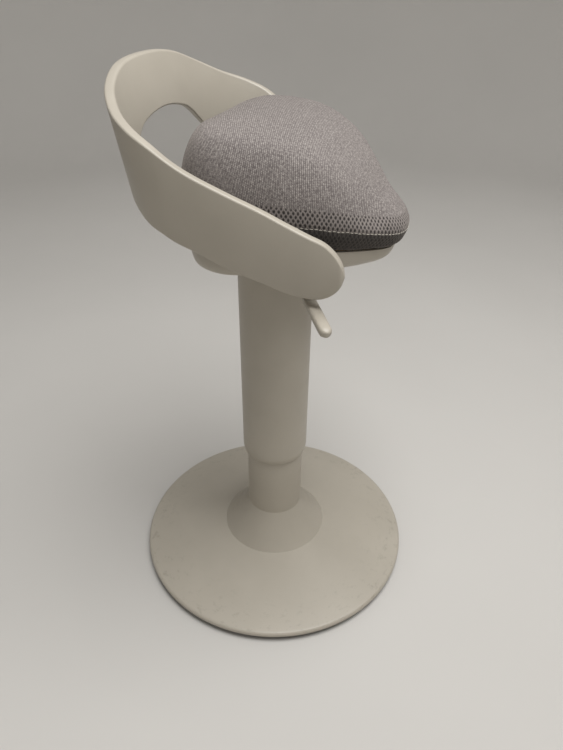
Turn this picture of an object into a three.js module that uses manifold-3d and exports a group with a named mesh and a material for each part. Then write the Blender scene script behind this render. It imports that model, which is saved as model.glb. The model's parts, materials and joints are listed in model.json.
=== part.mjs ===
// Height-adjustable perch stool: a heavy flared base, a telescopic column with a gas lift,
// and a domed, upholstered seat that rolls down to its front, held inside a back band.
// Millimetres, +Z up, origin on the floor under the column's axis, the seat facing -Y.
import * as THREE from "three";
import { mergeVertices } from "three/addons/utils/BufferGeometryUtils.js";
import Module from "manifold-3d";

const wasm = await Module();
wasm.setup();

// Fits
const seat_gap = 0.3; // between two pieces that rest on each other
const slide_gap = 0.5; // between pieces that slide in each other
const cut_overrun = 1; // how far a cutter runs past what it cuts

// Smoothness of round pieces
const large_facets = 56;
const sleeve_facets = 48;
const medium_facets = 36;
const small_facets = 18;
const screw_facets = 10;

// Base
const base_radius = 225;
const foot_height = 10;
const foot_inset = 6;
const foot_width = 26;
const foot_chamfer = 2;
const cover_wall = 3;
const cover_edge = 8;
const cover_edge_round = 5;
const cone_rise = 22;
const flare_reach = 34;
const flare_height = 52;
const column_radius = 45;
const column_narrowing = 0.8;
const column_top = 425;
const weight_edge_setback = 4;
const weight_thickness = 9;
const hub_wall = 9;
const hub_height = 46;
const cover_screw_count = 4;
const cover_screw_circle = 150;
const cover_boss_radius = 6;

// Gas lift
const tube_radius = 25;
const tube_wall = 2.5;
const tube_taper = 1.5;
const tube_floor = 4;
const tube_lift = 4; // tube's underside above the weight's underside
const tube_top = 345;
const bush_length = 70;
const bush_flange = 5;
const cylinder_radius = 14;
const cylinder_wall = 3;
const cylinder_length = 384;
const cylinder_head = 60;
const cylinder_taper = 1;
const rod_radius = 5;
const rod_shoulder_radius = 12;
const rod_shoulder = 3;
const rod_tail = 5.5;
const rod_top = 318;
const rod_neck_radius = 3.2;
const piston_height = 10;
const piston_nut_radius = 6;
const piston_nut_height = 5;
const seal_height = 12;
const race_radius = 15;
const race_height = 2;
const ball_radius = 2;
const ball_count = 8;
const bumper_radius = 13;
const bumper_height = 14;
const clip_radius = 9;
const clip_height = 2;

// Sleeve and its collar
const sleeve_bottom = 205;
const sleeve_top = 562.5;
const sleeve_radius = 51.3;
const sleeve_spread = 1.2;
const sleeve_wall = 3;
const sleeve_lip_height = 15;
const sleeve_crown = 10;
const collar_height = 6;
const collar_skirt = 14;
const collar_wall = 3;
const clip_ring_width = 8;
const clip_ring_height = 3;

// Seat. Heights of its pieces are above the pan's rim, and above the board's top.
const rim_height = 599; // pan's rim above the floor
const rim_drop = 18; // how far the rim comes down at the nose
const rim_drop_start = 20; // forward place at which it begins
const seat_rear = 108; // behind the column's axis
const seat_length = 283;
const seat_half = 143;
// Half of the seam's outline, from the rear's middle to the nose, as shares of the seat's
// length and half width
const seam_outline_shares = [
  [0, 0],
  [0.02, 0.35],
  [0.07, 0.64],
  [0.16, 0.89],
  [0.3, 1],
  [0.5, 0.92],
  [0.65, 0.78],
  [0.78, 0.62],
  [0.91, 0.39],
  [0.98, 0.2],
  [1, 0],
];
const seat_centre = 22; // forward place that the outlines shrink towards

// Cushion
const seam_rear = 50;
const seam_front = 24;
const shoulder_rear = 54; // seam to the top's edge
const shoulder_front = 14;
const crown_rear = 53;
const crown_front = 70;
const crown_rear_power_share = 4.2; // how flat the dome is in its middle
const crown_front_power_share = 2.3;
const tuck_rear = 6; // how far the cover draws in under the seam
const tuck_front = 16;
const roll_rear = 17; // how far it draws in over the shoulder
const roll_front = 17;
const cushion_facets = 56;

// Pan and board
const pan_depth = 36;
const pan_wall = 4;
const pan_facets = 48;
const pan_sweep_rear = 12; // width of the curve between the pan's side and its floor
const pan_sweep_front = 38;
const pan_opening = 44;
const pan_screw_x = 84;
const pan_screw_front = 30;
const pan_screw_rear = 48;
const pan_boss_radius = 7;
const board_thickness = 9;
const board_margin = 4;

// Mount between the gas lift and the board
const socket_radius = 24;
const socket_bottom = 526;
const socket_top = 569;
const cylinder_top = 570;
const flange_width = 130;
const flange_depth = 100;
const flange_thickness = 4;
const flange_corner = 14;
const flange_bolt_x = 50;
const flange_bolt_y = 36;
const cheek_offset = 19;
const cheek_thickness = 3.5;
const cheek_bottom = 566.2;
const cheek_back = 26;
const cheek_front = 37;

// Lever and valve button
const lever_turn = THREE.MathUtils.degToRad(54); // from straight ahead towards the sitter's right
const lever_pivot_reach = 30;
const lever_pivot_rise = 9.3; // above the socket
const lever_reach = 208;
const lever_tip_drop = 43; // below the pivot
const lever_knee_reach = 62;
const lever_knee_drop = 4.5;
const lever_elbow_reach = 110;
const lever_elbow_drop = 25;
const lever_rod_radius = 4.5;
const lever_tongue_back = 8;
const lever_tongue_width = 12;
const lever_slot_width = 30;
const lever_slot_reach = 118;
const lever_slot_height = 14;
const lever_tongue_thickness = 4;
const lever_eye_radius = 6.5;
const grip_start = 122;
const grip_width = 15;
const grip_thickness = 11;
const grip_round = 4;
const pin_radius = 3;
const pin_head = 2;
const button_radius = 4;
const button_length = 24;
const button_rise = 6;
const button_room = 5;

// Back band
const band_rear = 180; // behind the column's axis
const band_depth = 309;
const band_half = 174;
const band_rim_tip = 20; // rim's height at the paddles' ends
const band_rim_rise = 162; // from there up to the rear
const band_edge_low = -41; // lower edge's height at its lowest
const band_edge_rise = 162; // from there up to the rear
const band_lean = 20; // lower edge out to the rim, at the rear
// Half of the band, from the rear's middle to a paddle's end, as shares of its depth, half
// width, rim's rise, lower edge's rise and lean
const band_station_shares = [
  [0, 0, 1, 1, 1],
  [0.01, 0.356, 0.969, 0.938, 0.95],
  [0.058, 0.626, 0.87, 0.722, 0.8],
  [0.142, 0.822, 0.765, 0.531, 0.75],
  [0.239, 0.948, 0.691, 0.42, 0.8],
  [0.337, 1, 0.611, 0.352, 0.9],
  [0.447, 0.983, 0.481, 0.272, 0.85],
  [0.576, 0.943, 0.364, 0.167, 0.7],
  [0.712, 0.891, 0.247, 0.074, 0.55],
  [0.796, 0.862, 0.167, 0.019, 0.45],
  [0.874, 0.839, 0.099, 0, 0.35],
  [0.939, 0.816, 0.049, 0.006, 0.25],
  [1, 0.805, 0, 0.025, 0.2],
];
const band_thickness = 12;
const band_paddle_round = 30;

// Brackets that carry the band by its paddles
const bracket_thickness = 3;
const bracket_width = 30;
const bracket_along_share = 0.707; // place along the seat
const bracket_sink = 0.5; // how deep the tab's top is let into the band
const bracket_inner = 46; // strap's inner end, across from the middle
const bracket_tab_top = 9;
const bracket_screw_spread = 14;
const band_screw_height = 2;

// Fasteners
const screw_radius = 2;
const screw_head_radius = 4.2;
const screw_head_height = 2.5;
const screw_bite = 7;
const bolt_radius = 3;
const bolt_head_radius = 5.5;
const bolt_head_height = 4;
const bolt_bite = 6;

// Materials
function finish(color, roughness, metalness = 0) {
  return new THREE.MeshStandardMaterial({ color, roughness, metalness });
}
const satin_shell = finish(0xb4aa9b, 0.45);
const knit_fabric = finish(0x6e6763, 0.95);
const dark_rubber = finish(0x2b2a29, 0.9);
const bright_steel = finish(0xb9bbbe, 0.3, 1);
const black_steel = finish(0x26272a, 0.5, 0.6);
const cast_weight = finish(0x4a4a4c, 0.7, 0.7);
const pale_nylon = finish(0xe6e3da, 0.5);
const plywood = finish(0xc79f6b, 0.7);

// Geometry helpers

// A piece turned about Z. The profile holds [radius, height] pairs; one that stays off the
// axis is closed on itself.
function turned(profile, facets) {
  const points = profile.map(([radius, height]) => new THREE.Vector2(radius, height));
  const offAxis = profile[0][0] > 0;
  if (offAxis) points.push(points[0].clone());
  let area = 0;
  points.forEach((p, i) => {
    const q = points[(i + 1) % points.length];
    area += p.x * q.y - q.x * p.y;
  });
  if (area < 0) points.reverse();
  return new THREE.LatheGeometry(points, facets).rotateX(Math.PI / 2);
}

// A plain ring or a disc with a hole.
function ring(inner, outer, bottom, top, facets = medium_facets) {
  return turned([[inner, bottom], [outer, bottom], [outer, top], [inner, top]], facets);
}

// A solid round bar about Z.
function bar(radius, bottom, top, facets = small_facets) {
  return turned([[0, bottom], [radius, bottom], [radius, top], [0, top]], facets);
}

function block(x0, x1, y0, y1, z0, z1) {
  return new THREE.BoxGeometry(x1 - x0, y1 - y0, z1 - z0)
    .translate((x0 + x1) / 2, (y0 + y1) / 2, (z0 + z1) / 2);
}

// A closed skin over rings of points. Each ring has the same number of points; a ring of one
// point is a pole.
function skin(rings) {
  const positions = [];
  const starts = rings.map((points) => {
    const start = positions.length / 3;
    points.forEach((p) => positions.push(p.x, p.y, p.z));
    return start;
  });
  const index = [];
  for (let k = 0; k + 1 < rings.length; k++) {
    const next = k + 1;
    const low = rings[k].length;
    const high = rings[next].length;
    const count = Math.max(low, high);
    for (let i = 0; i < count; i++) {
      const j = (i + 1) % count;
      const a = starts[k] + (low === 1 ? 0 : i);
      const b = starts[k] + (low === 1 ? 0 : j);
      const c = starts[next] + (high === 1 ? 0 : j);
      const d = starts[next] + (high === 1 ? 0 : i);
      if (low > 1) index.push(a, b, c);
      if (high > 1) index.push(a, c, d);
    }
  }
  const corner = (i) => new THREE.Vector3().fromArray(positions, 3 * i);
  let volume = 0;
  for (let i = 0; i < index.length; i += 3) {
    const [p, q, r] = index.slice(i, i + 3).map(corner);
    volume += p.dot(q.cross(r));
  }
  if (volume < 0) index.reverse();
  const geometry = new THREE.BufferGeometry();
  geometry.setAttribute("position", new THREE.Float32BufferAttribute(positions, 3));
  geometry.setIndex(index);
  return geometry;
}

function solid(geometry) {
  const bare = geometry.index ? geometry.toNonIndexed() : geometry.clone();
  bare.deleteAttribute("normal");
  bare.deleteAttribute("uv");
  const merged = mergeVertices(bare, 1e-3);
  return new wasm.Manifold(new wasm.Mesh({
    numProp: 3,
    vertProperties: merged.attributes.position.array,
    triVerts: new Uint32Array(merged.index.array),
  }));
}

function shaped(manifold) {
  const mesh = manifold.getMesh();
  const geometry = new THREE.BufferGeometry();
  geometry.setAttribute("position", new THREE.BufferAttribute(mesh.vertProperties, 3));
  geometry.setIndex(new THREE.BufferAttribute(mesh.triVerts, 1));
  return geometry;
}

function joined(geometries) {
  return geometries.map(solid).reduce((all, next) => all.add(next));
}

function cut(body, cutters) {
  return cutters.map(solid).reduce((rest, next) => rest.subtract(next), body);
}

const stool = new THREE.Group();
const seat = new THREE.Group();
seat.position.z = rim_height;
stool.add(seat);

function add(parent, name, geometry, material) {
  const mesh = new THREE.Mesh(geometry, material);
  mesh.name = name;
  parent.add(mesh);
  return mesh;
}

// Base
const weight_bottom = foot_height + seat_gap;
const cover_bottom = foot_height + slide_gap;
const cover_top = cover_bottom + cover_edge;
const flare_radius = column_radius + flare_reach;
const flare_bottom = cover_top + cone_rise;
const cone_slope = cone_rise / (base_radius - cover_edge_round - flare_radius);
const flare_top = flare_bottom + flare_height;

// Outside of the cover: upright edge, shallow cone, flare and column.
function coverOutline() {
  const outline = [[base_radius, cover_bottom]];
  const edge_steps = 2;
  for (let i = 0; i <= edge_steps; i++) {
    const turn = (i / edge_steps) * Math.PI / 2;
    outline.push([
      base_radius - cover_edge_round * (1 - Math.cos(turn)),
      cover_top - cover_edge_round * (1 - Math.sin(turn)),
    ]);
  }
  const flare = new THREE.QuadraticBezierCurve(
    new THREE.Vector2(flare_radius, flare_bottom),
    new THREE.Vector2(column_radius, flare_bottom + flare_reach * cone_slope),
    new THREE.Vector2(column_radius, flare_top),
  );
  flare.getPoints(5).forEach((p) => outline.push([p.x, p.y]));
  outline.push([column_radius - column_narrowing, column_top]);
  return outline;
}

// The same outline moved square to itself towards the axis and the floor.
function inwards(outline, distance) {
  return outline.map((point, i) => {
    const before = outline[Math.max(i - 1, 0)];
    const after = outline[Math.min(i + 1, outline.length - 1)];
    const run = new THREE.Vector2(after[0] - before[0], after[1] - before[1]).normalize();
    return [point[0] - run.y * distance, point[1] + run.x * distance];
  });
}

function coverInside(distance) {
  const inside = inwards(coverOutline(), distance);
  inside[0][1] = cover_bottom;
  inside[inside.length - 1][1] = column_top;
  return inside;
}

// Height of the cover's inside, or of a surface below it, on the cone at a radius.
function coneHeight(radius, distance) {
  const along = base_radius - cover_edge_round - radius;
  return cover_top + along * cone_slope - distance * Math.hypot(1, cone_slope);
}

function around(count, circle, start_share = 0.5) {
  return Array.from({ length: count }, (_, i) => {
    const turn = ((i + start_share) / count) * 2 * Math.PI;
    return [circle * Math.cos(turn), circle * Math.sin(turn)];
  });
}

const cover_screws = around(cover_screw_count, cover_screw_circle);
const hub_bore = tube_radius + seat_gap;
const hub_radius = hub_bore + hub_wall;
const weight_radius = base_radius - cover_wall - cover_edge_round - weight_edge_setback;
const weight_top = weight_bottom + weight_thickness;

// Height of the weight's bevelled edge, which lies under the cone.
function bevelHeight(radius) {
  return coneHeight(radius, cover_wall + slide_gap);
}

// Radius at which the bevel reaches the weight's flat top.
const weight_flat_radius = weight_radius
  - (weight_top - bevelHeight(weight_radius)) / cone_slope;

function baseCover() {
  const outside = coverOutline();
  const inside = coverInside(cover_wall);
  let cover = solid(turned([...outside, ...inside.reverse()], large_facets));
  cover_screws.forEach(([x, y]) => {
    const foot = weight_top + seat_gap;
    const head = coneHeight(cover_screw_circle + cover_boss_radius, cover_wall / 2);
    const boss = bar(cover_boss_radius, foot, head, screw_facets).translate(x, y, 0);
    const bore = bar(screw_radius + seat_gap, foot - cut_overrun, foot + screw_bite / 2, screw_facets);
    cover = cover.add(solid(boss)).subtract(solid(bore.translate(x, y, 0)));
  });
  return shaped(cover);
}

// Cast disc that fills the cover, with the hub that grips the gas lift's tube.
function baseWeight() {
  const body = solid(turned([
    [hub_bore - tube_taper, weight_bottom],
    [weight_radius, weight_bottom],
    [weight_radius, bevelHeight(weight_radius)],
    [weight_flat_radius, weight_top],
    [hub_radius, weight_top],
    [hub_radius, weight_bottom + hub_height],
    [hub_bore, weight_bottom + hub_height],
  ], medium_facets));
  const holes = cover_screws.flatMap(([x, y]) => [
    bar(screw_radius + seat_gap, weight_bottom - cut_overrun, flare_top, screw_facets),
    bar(
      screw_head_radius + seat_gap,
      weight_bottom - cut_overrun,
      weight_bottom + screw_head_height + seat_gap,
      screw_facets,
    ),
  ].map((hole) => hole.translate(x, y, 0)));
  return shaped(cut(body, holes));
}

function coverScrew(x, y) {
  const tip = weight_top + screw_bite / 2;
  return turned([
    [0, weight_bottom],
    [screw_head_radius, weight_bottom],
    [screw_head_radius, weight_bottom + screw_head_height],
    [screw_radius, weight_bottom + screw_head_height],
    [screw_radius, tip],
    [0, tip],
  ], screw_facets).translate(x, y, 0);
}

function footRing() {
  const outer = base_radius - foot_inset;
  const inner = outer - foot_width;
  return turned([
    [inner, 0],
    [outer - foot_chamfer, 0],
    [outer, foot_chamfer],
    [outer, foot_height],
    [inner, foot_height],
  ], large_facets);
}

add(stool, "base_cover", baseCover(), satin_shell);
add(stool, "base_weight", baseWeight(), cast_weight);
add(stool, "foot_ring", footRing(), dark_rubber);
cover_screws.forEach(([x, y], i) => {
  add(stool, `cover_screw_${i + 1}`, coverScrew(x, y), bright_steel);
});

// Gas lift, fixed part
const tube_bottom = weight_bottom + tube_lift;
const tube_bore = tube_radius - tube_wall;
const floor_top = tube_bottom + tube_floor;
const hub_top = weight_bottom + hub_height;
const tube_taper_here = tube_taper * (1 - tube_lift / hub_height);
const rod_hole = rod_radius + slide_gap;

function columnTube() {
  return turned([
    [rod_hole, tube_bottom],
    [tube_radius - tube_taper_here, tube_bottom],
    [tube_radius, hub_top],
    [tube_radius, tube_top],
    [tube_bore, tube_top],
    [tube_bore, floor_top],
    [rod_hole, floor_top],
  ], medium_facets);
}

function guideBush() {
  const bore = cylinder_radius + slide_gap;
  const outer = tube_bore - seat_gap;
  return turned([
    [bore, tube_top - bush_length],
    [outer, tube_top - bush_length],
    [outer, tube_top + seat_gap],
    [tube_radius, tube_top + seat_gap],
    [tube_radius, tube_top + bush_flange],
    [bore, tube_top + bush_flange],
  ], medium_facets);
}

const lower_race_bottom = floor_top + seat_gap;
const bearing_bottom = lower_race_bottom + race_height + seat_gap;
const bearing_height = 2 * ball_radius;
const upper_race_bottom = bearing_bottom + bearing_height + seat_gap;
const shoulder_bottom = upper_race_bottom + race_height + seat_gap;
const shoulder_top = shoulder_bottom + rod_shoulder;
const ball_circle = (race_radius + rod_radius) / 2 + seat_gap;

add(stool, "column_tube", columnTube(), black_steel);
add(stool, "guide_bush", guideBush(), pale_nylon);
add(
  stool,
  "lower_race",
  ring(rod_hole, race_radius, lower_race_bottom, lower_race_bottom + race_height, small_facets),
  bright_steel,
);

// Gas lift, turning part
function thrustBearing() {
  const middle = bearing_bottom + ball_radius;
  const cage = ring(
    rod_hole + slide_gap,
    race_radius - slide_gap,
    middle - ball_radius / 2,
    middle + ball_radius / 2,
    small_facets,
  );
  const balls = around(ball_count, ball_circle)
    .map(([x, y]) => new THREE.IcosahedronGeometry(ball_radius, 1).translate(x, y, middle));
  return shaped(joined([cage, ...balls]));
}

const rod_neck_bottom = rod_top - piston_height - piston_nut_height - seat_gap;

function pistonRod() {
  return turned([
    [0, tube_bottom - rod_tail],
    [rod_radius, tube_bottom - rod_tail],
    [rod_radius, shoulder_bottom],
    [rod_shoulder_radius, shoulder_bottom],
    [rod_shoulder_radius, shoulder_top],
    [rod_radius, shoulder_top],
    [rod_radius, rod_neck_bottom],
    [rod_neck_radius, rod_neck_bottom],
    [rod_neck_radius, rod_top],
    [0, rod_top],
  ], small_facets);
}

const cylinder_bore = cylinder_radius - cylinder_wall;
const neck_hole = rod_neck_radius + seat_gap;
const piston_bottom = rod_neck_bottom + seat_gap;
const nut_bottom = piston_bottom + piston_height + seat_gap;
const clip_top = tube_bottom - seat_gap;
const clip_bore = rod_radius + seat_gap;

add(stool, "thrust_bearing", thrustBearing(), bright_steel);
add(
  stool,
  "upper_race",
  ring(rod_hole, race_radius, upper_race_bottom, upper_race_bottom + race_height, small_facets),
  bright_steel,
);
add(stool, "piston_rod", pistonRod(), bright_steel);
add(
  stool,
  "rubber_bumper",
  ring(
    rod_radius + seat_gap,
    bumper_radius,
    shoulder_top + seat_gap,
    shoulder_top + bumper_height,
    small_facets,
  ),
  dark_rubber,
);
add(
  stool,
  "piston",
  ring(neck_hole, cylinder_bore - seat_gap, piston_bottom, piston_bottom + piston_height, small_facets),
  pale_nylon,
);
add(
  stool,
  "piston_nut",
  ring(neck_hole, piston_nut_radius, nut_bottom, nut_bottom + piston_nut_height - 2 * seat_gap, small_facets),
  bright_steel,
);
add(
  stool,
  "retaining_clip",
  ring(clip_bore, clip_radius, clip_top - clip_height, clip_top, small_facets),
  bright_steel,
);

// Gas lift, rising part
const cylinder_bottom = cylinder_top - cylinder_length;
const head_bottom = cylinder_top - cylinder_head;
const head_radius = cylinder_radius - cylinder_taper;
const button_bore = button_radius + seat_gap;
const button_top = cylinder_top + button_rise;
const button_bottom = button_top - button_length;

function gasCylinder() {
  const outside = solid(turned([
    [0, cylinder_bottom],
    [cylinder_radius, cylinder_bottom],
    [cylinder_radius, head_bottom],
    [head_radius, cylinder_top],
    [0, cylinder_top],
  ], medium_facets));
  return shaped(cut(outside, [
    bar(cylinder_bore, cylinder_bottom - cut_overrun, head_bottom, medium_facets),
    bar(button_bore, button_bottom - button_room, cylinder_top + cut_overrun),
  ]));
}

add(stool, "gas_cylinder", gasCylinder(), black_steel);
add(
  stool,
  "rod_seal",
  ring(
    rod_radius + slide_gap,
    cylinder_bore - seat_gap,
    cylinder_bottom,
    cylinder_bottom + seal_height,
    small_facets,
  ),
  dark_rubber,
);
add(stool, "release_button", bar(button_radius, button_bottom, button_top), bright_steel);

// Column collar and sleeve
const column_rim = column_radius - column_narrowing;
const sleeve_bore = sleeve_radius - sleeve_wall;

function glideCollar() {
  const skirt_outer = column_rim - cover_wall - slide_gap;
  const bottom = column_top + seat_gap;
  return turned([
    [skirt_outer - collar_wall, column_top - collar_skirt],
    [skirt_outer, column_top - collar_skirt],
    [skirt_outer, bottom],
    [sleeve_bore - slide_gap, bottom],
    [sleeve_bore - slide_gap, bottom + collar_height],
    [skirt_outer - collar_wall, bottom + collar_height],
  ], medium_facets);
}

function columnSleeve() {
  const lip_bore = column_radius + 2 * slide_gap;
  const top_radius = sleeve_radius + sleeve_spread;
  const lip_steps = 3;
  const outside = [];
  for (let i = 0; i <= lip_steps; i++) {
    const turn = (i / lip_steps) * Math.PI / 2;
    outside.push([
      lip_bore + sleeve_wall / 2 + (sleeve_radius - lip_bore - sleeve_wall / 2) * Math.sin(turn),
      sleeve_bottom + sleeve_lip_height * (1 - Math.cos(turn)),
    ]);
  }
  for (let i = 0; i <= lip_steps; i++) {
    const turn = (i / lip_steps) * Math.PI / 2;
    outside.push([
      top_radius - sleeve_crown * (1 - Math.cos(turn)),
      sleeve_top - sleeve_crown * (1 - Math.sin(turn)),
    ]);
  }
  const web_bore = socket_radius + seat_gap;
  return turned([
    [lip_bore, sleeve_bottom],
    ...outside,
    [web_bore, sleeve_top],
    [web_bore, sleeve_top - sleeve_wall],
    [top_radius - sleeve_crown, sleeve_top - sleeve_wall],
    [top_radius - sleeve_wall, sleeve_top - sleeve_crown],
    [sleeve_bore, sleeve_bottom + sleeve_lip_height],
    [lip_bore, sleeve_bottom + sleeve_wall],
  ], sleeve_facets);
}

add(stool, "glide_collar", glideCollar(), pale_nylon);
add(stool, "column_sleeve", columnSleeve(), satin_shell);
add(
  stool,
  "sleeve_clip",
  ring(
    socket_radius + seat_gap,
    socket_radius + clip_ring_width,
    sleeve_top - sleeve_wall - seat_gap - clip_ring_height,
    sleeve_top - sleeve_wall - seat_gap,
  ),
  black_steel,
);

// Seat mount: a taper socket, two cheeks and a flange
const flange_top = -board_thickness - seat_gap;
const flange_bottom = flange_top - flange_thickness;
const flange_bolts = [-1, 1].flatMap((sx) => [-1, 1].map((sy) => [
  sx * flange_bolt_x,
  sy * flange_bolt_y,
]));

function roundedPlate(width, depth, corner, bottom, top) {
  const outline = new THREE.Shape();
  const x = width / 2;
  const y = depth / 2;
  outline.absarc(x - corner, y - corner, corner, 0, Math.PI / 2);
  outline.absarc(corner - x, y - corner, corner, Math.PI / 2, Math.PI);
  outline.absarc(corner - x, corner - y, corner, Math.PI, 1.5 * Math.PI);
  outline.absarc(x - corner, corner - y, corner, 1.5 * Math.PI, 2 * Math.PI);
  return new THREE.ExtrudeGeometry(outline, {
    depth: top - bottom,
    bevelEnabled: false,
    curveSegments: 4,
  }).translate(0, 0, bottom);
}

const lever_pivot_height = socket_top + lever_pivot_rise;

// Turns a shape made along -Y into the lever's direction.
function towardsLever(geometry) {
  return geometry.rotateZ(-lever_turn);
}

function seatMount() {
  const socket = turned([
    [cylinder_radius + seat_gap, socket_bottom],
    [socket_radius, socket_bottom],
    [socket_radius, socket_top],
    [head_radius + seat_gap, socket_top],
  ], medium_facets);
  const cheek_top = rim_height + flange_bottom + flange_thickness / 2;
  const cheeks = [-1, 1].map((side) => towardsLever(block(
    side * cheek_offset - (side < 0 ? cheek_thickness : 0),
    side * cheek_offset + (side > 0 ? cheek_thickness : 0),
    -cheek_front,
    cheek_back,
    cheek_bottom,
    cheek_top,
  )));
  const flange = roundedPlate(flange_width, flange_depth, flange_corner, flange_bottom, flange_top)
    .translate(0, 0, rim_height);
  const bolt_holes = flange_bolts.map(([x, y]) => bar(
    bolt_radius + seat_gap,
    flange_bottom - cut_overrun,
    flange_top + cut_overrun,
    screw_facets,
  ).translate(x, y, rim_height));
  const pin_hole = towardsLever(
    bar(pin_radius + seat_gap, -socket_radius * 2, socket_radius * 2)
      .rotateY(Math.PI / 2)
      .translate(0, -lever_pivot_reach, lever_pivot_height),
  );
  return shaped(cut(joined([socket, ...cheeks, flange]), [...bolt_holes, pin_hole]));
}

function leverPin() {
  const half = cheek_offset + cheek_thickness + seat_gap;
  return towardsLever(turned([
    [0, -half - pin_head],
    [pin_radius + pin_head, -half - pin_head],
    [pin_radius + pin_head, -half],
    [pin_radius, -half],
    [pin_radius, half + pin_head],
    [0, half + pin_head],
  ], small_facets).rotateY(Math.PI / 2).translate(0, -lever_pivot_reach, lever_pivot_height));
}

// A screw standing on Z with its head below and its tip up, head's seat at a height.
function screwUp(radius, head_radius_here, head_height, seat_level, tip) {
  return turned([
    [0, seat_level - head_height],
    [head_radius_here, seat_level - head_height],
    [head_radius_here, seat_level],
    [radius, seat_level],
    [radius, tip],
    [0, tip],
  ], screw_facets);
}

add(stool, "seat_mount", seatMount(), black_steel);
add(stool, "lever_pin", leverPin(), bright_steel);
flange_bolts.forEach(([x, y], i) => {
  const bolt = screwUp(
    bolt_radius,
    bolt_head_radius,
    bolt_head_height,
    flange_bottom - seat_gap,
    flange_top + bolt_bite,
  ).translate(x, y, 0);
  add(seat, `mount_bolt_${i + 1}`, bolt, bright_steel);
});

// Lever: a bent rod with a flat tongue over the valve button, and a moulded grip
function leverPath() {
  return new THREE.CatmullRomCurve3([
    new THREE.Vector3(0, -lever_pivot_reach, lever_pivot_height),
    new THREE.Vector3(0, -lever_knee_reach, lever_pivot_height - lever_knee_drop),
    new THREE.Vector3(0, -lever_elbow_reach, lever_pivot_height - lever_elbow_drop),
    new THREE.Vector3(0, -lever_reach, lever_pivot_height - lever_tip_drop),
  ]);
}

// Share of the path at which it has gone out to a reach.
function pathShare(path, reach) {
  let low = 0;
  let high = 1;
  for (let i = 0; i < 40; i++) {
    const middle = (low + high) / 2;
    if (-path.getPoint(middle).y < reach) low = middle;
    else high = middle;
  }
  return low;
}

function pathPoints(path, start_reach, end_reach, steps) {
  const from = pathShare(path, start_reach);
  const to = pathShare(path, end_reach);
  return Array.from({ length: steps + 1 }, (_, i) => path.getPoint(from + (to - from) * i / steps));
}

const grip_overlap = 14;

// Round bar along the lever's path between two reaches.
function rodSkin(radius, start_reach, end_reach) {
  const path = leverPath();
  const rings = pathPoints(path, start_reach, end_reach, 12).map((centre, i, all) => {
    const next = all[Math.min(i + 1, all.length - 1)];
    const last = all[Math.max(i - 1, 0)];
    const along = next.clone().sub(last).normalize();
    const up = new THREE.Vector3(0, along.z, -along.y);
    return Array.from({ length: screw_facets }, (_, k) => {
      const turn = (k / screw_facets) * 2 * Math.PI;
      return centre.clone()
        .addScaledVector(up, radius * Math.sin(turn))
        .add(new THREE.Vector3(radius * Math.cos(turn), 0, 0));
    });
  });
  const [first, last] = pathPoints(path, start_reach, end_reach, 1);
  return skin([[first], ...rings, [last]]);
}

function leverArm() {
  const rod = rodSkin(lever_rod_radius, lever_pivot_reach, grip_start + grip_overlap);
  const tongue_bottom = button_top + seat_gap;
  const tongue = block(
    -lever_tongue_width / 2,
    lever_tongue_width / 2,
    -lever_pivot_reach,
    lever_tongue_back,
    tongue_bottom,
    tongue_bottom + lever_tongue_thickness,
  );
  const eye = bar(lever_eye_radius, -lever_tongue_width / 2, lever_tongue_width / 2)
    .rotateY(Math.PI / 2)
    .translate(0, -lever_pivot_reach, lever_pivot_height);
  const bore = bar(pin_radius + seat_gap, -lever_tongue_width, lever_tongue_width)
    .rotateY(Math.PI / 2)
    .translate(0, -lever_pivot_reach, lever_pivot_height);
  return towardsLever(shaped(cut(joined([rod, tongue, eye]), [bore])));
}

// Flat bar with round edges and a round end, moulded over the rod.
function leverGrip() {
  const path = leverPath();
  const half = grip_width / 2;
  const steps = 14;
  const from = pathShare(path, grip_start);
  const rings = [];
  for (let i = 0; i <= steps; i++) {
    const share = Math.sin((i / steps) * Math.PI / 2);
    const reach = grip_start + (lever_reach - grip_start) * share;
    const at = i === 0 ? from : pathShare(path, reach);
    const centre = path.getPoint(at);
    const along = path.getTangent(at);
    const up = new THREE.Vector3(0, along.z, -along.y);
    const left = lever_reach - reach;
    const end_share = left >= half ? 1 : Math.sqrt(Math.max(1 - (1 - left / half) ** 2, 0.02));
    const wide = half * end_share;
    const thick = (grip_thickness / 2) * (0.5 + 0.5 * end_share);
    const corner = Math.min(grip_round, wide, thick);
    const section = [];
    for (const [sx, sz, start] of [[1, 1, 0], [-1, 1, 1], [-1, -1, 2], [1, -1, 3]]) {
      for (const part of [0.15, 0.5, 0.85]) {
        const turn = (start + part) * Math.PI / 2;
        section.push([
          sx * (wide - corner) + corner * Math.cos(turn),
          sz * (thick - corner) + corner * Math.sin(turn),
        ]);
      }
    }
    rings.push(section.map(([x, z]) => centre.clone()
      .addScaledVector(up, z)
      .add(new THREE.Vector3(x, 0, 0))));
  }
  const start = path.getPoint(from);
  const end = path.getPoint(pathShare(path, lever_reach));
  const body = solid(skin([[start], ...rings, [end]]));
  const pocket = rodSkin(
    lever_rod_radius + slide_gap,
    grip_start - grip_round,
    grip_start + grip_overlap + slide_gap,
  );
  return towardsLever(shaped(body.subtract(solid(pocket))));
}

add(stool, "lever_arm", leverArm(), black_steel);
add(stool, "lever_grip", leverGrip(), satin_shell);

// Outline of the seat at the seam, as one closed curve, with its normals.
function outlineCurve() {
  const left = seam_outline_shares.map(([along, across]) => {
    return new THREE.Vector3(seat_half * across, seat_rear - seat_length * along, 0);
  });
  const right = left.slice(1, -1).reverse().map((p) => new THREE.Vector3(-p.x, p.y, 0));
  return new THREE.CatmullRomCurve3([...left, ...right], true);
}
const outline = outlineCurve();

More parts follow.
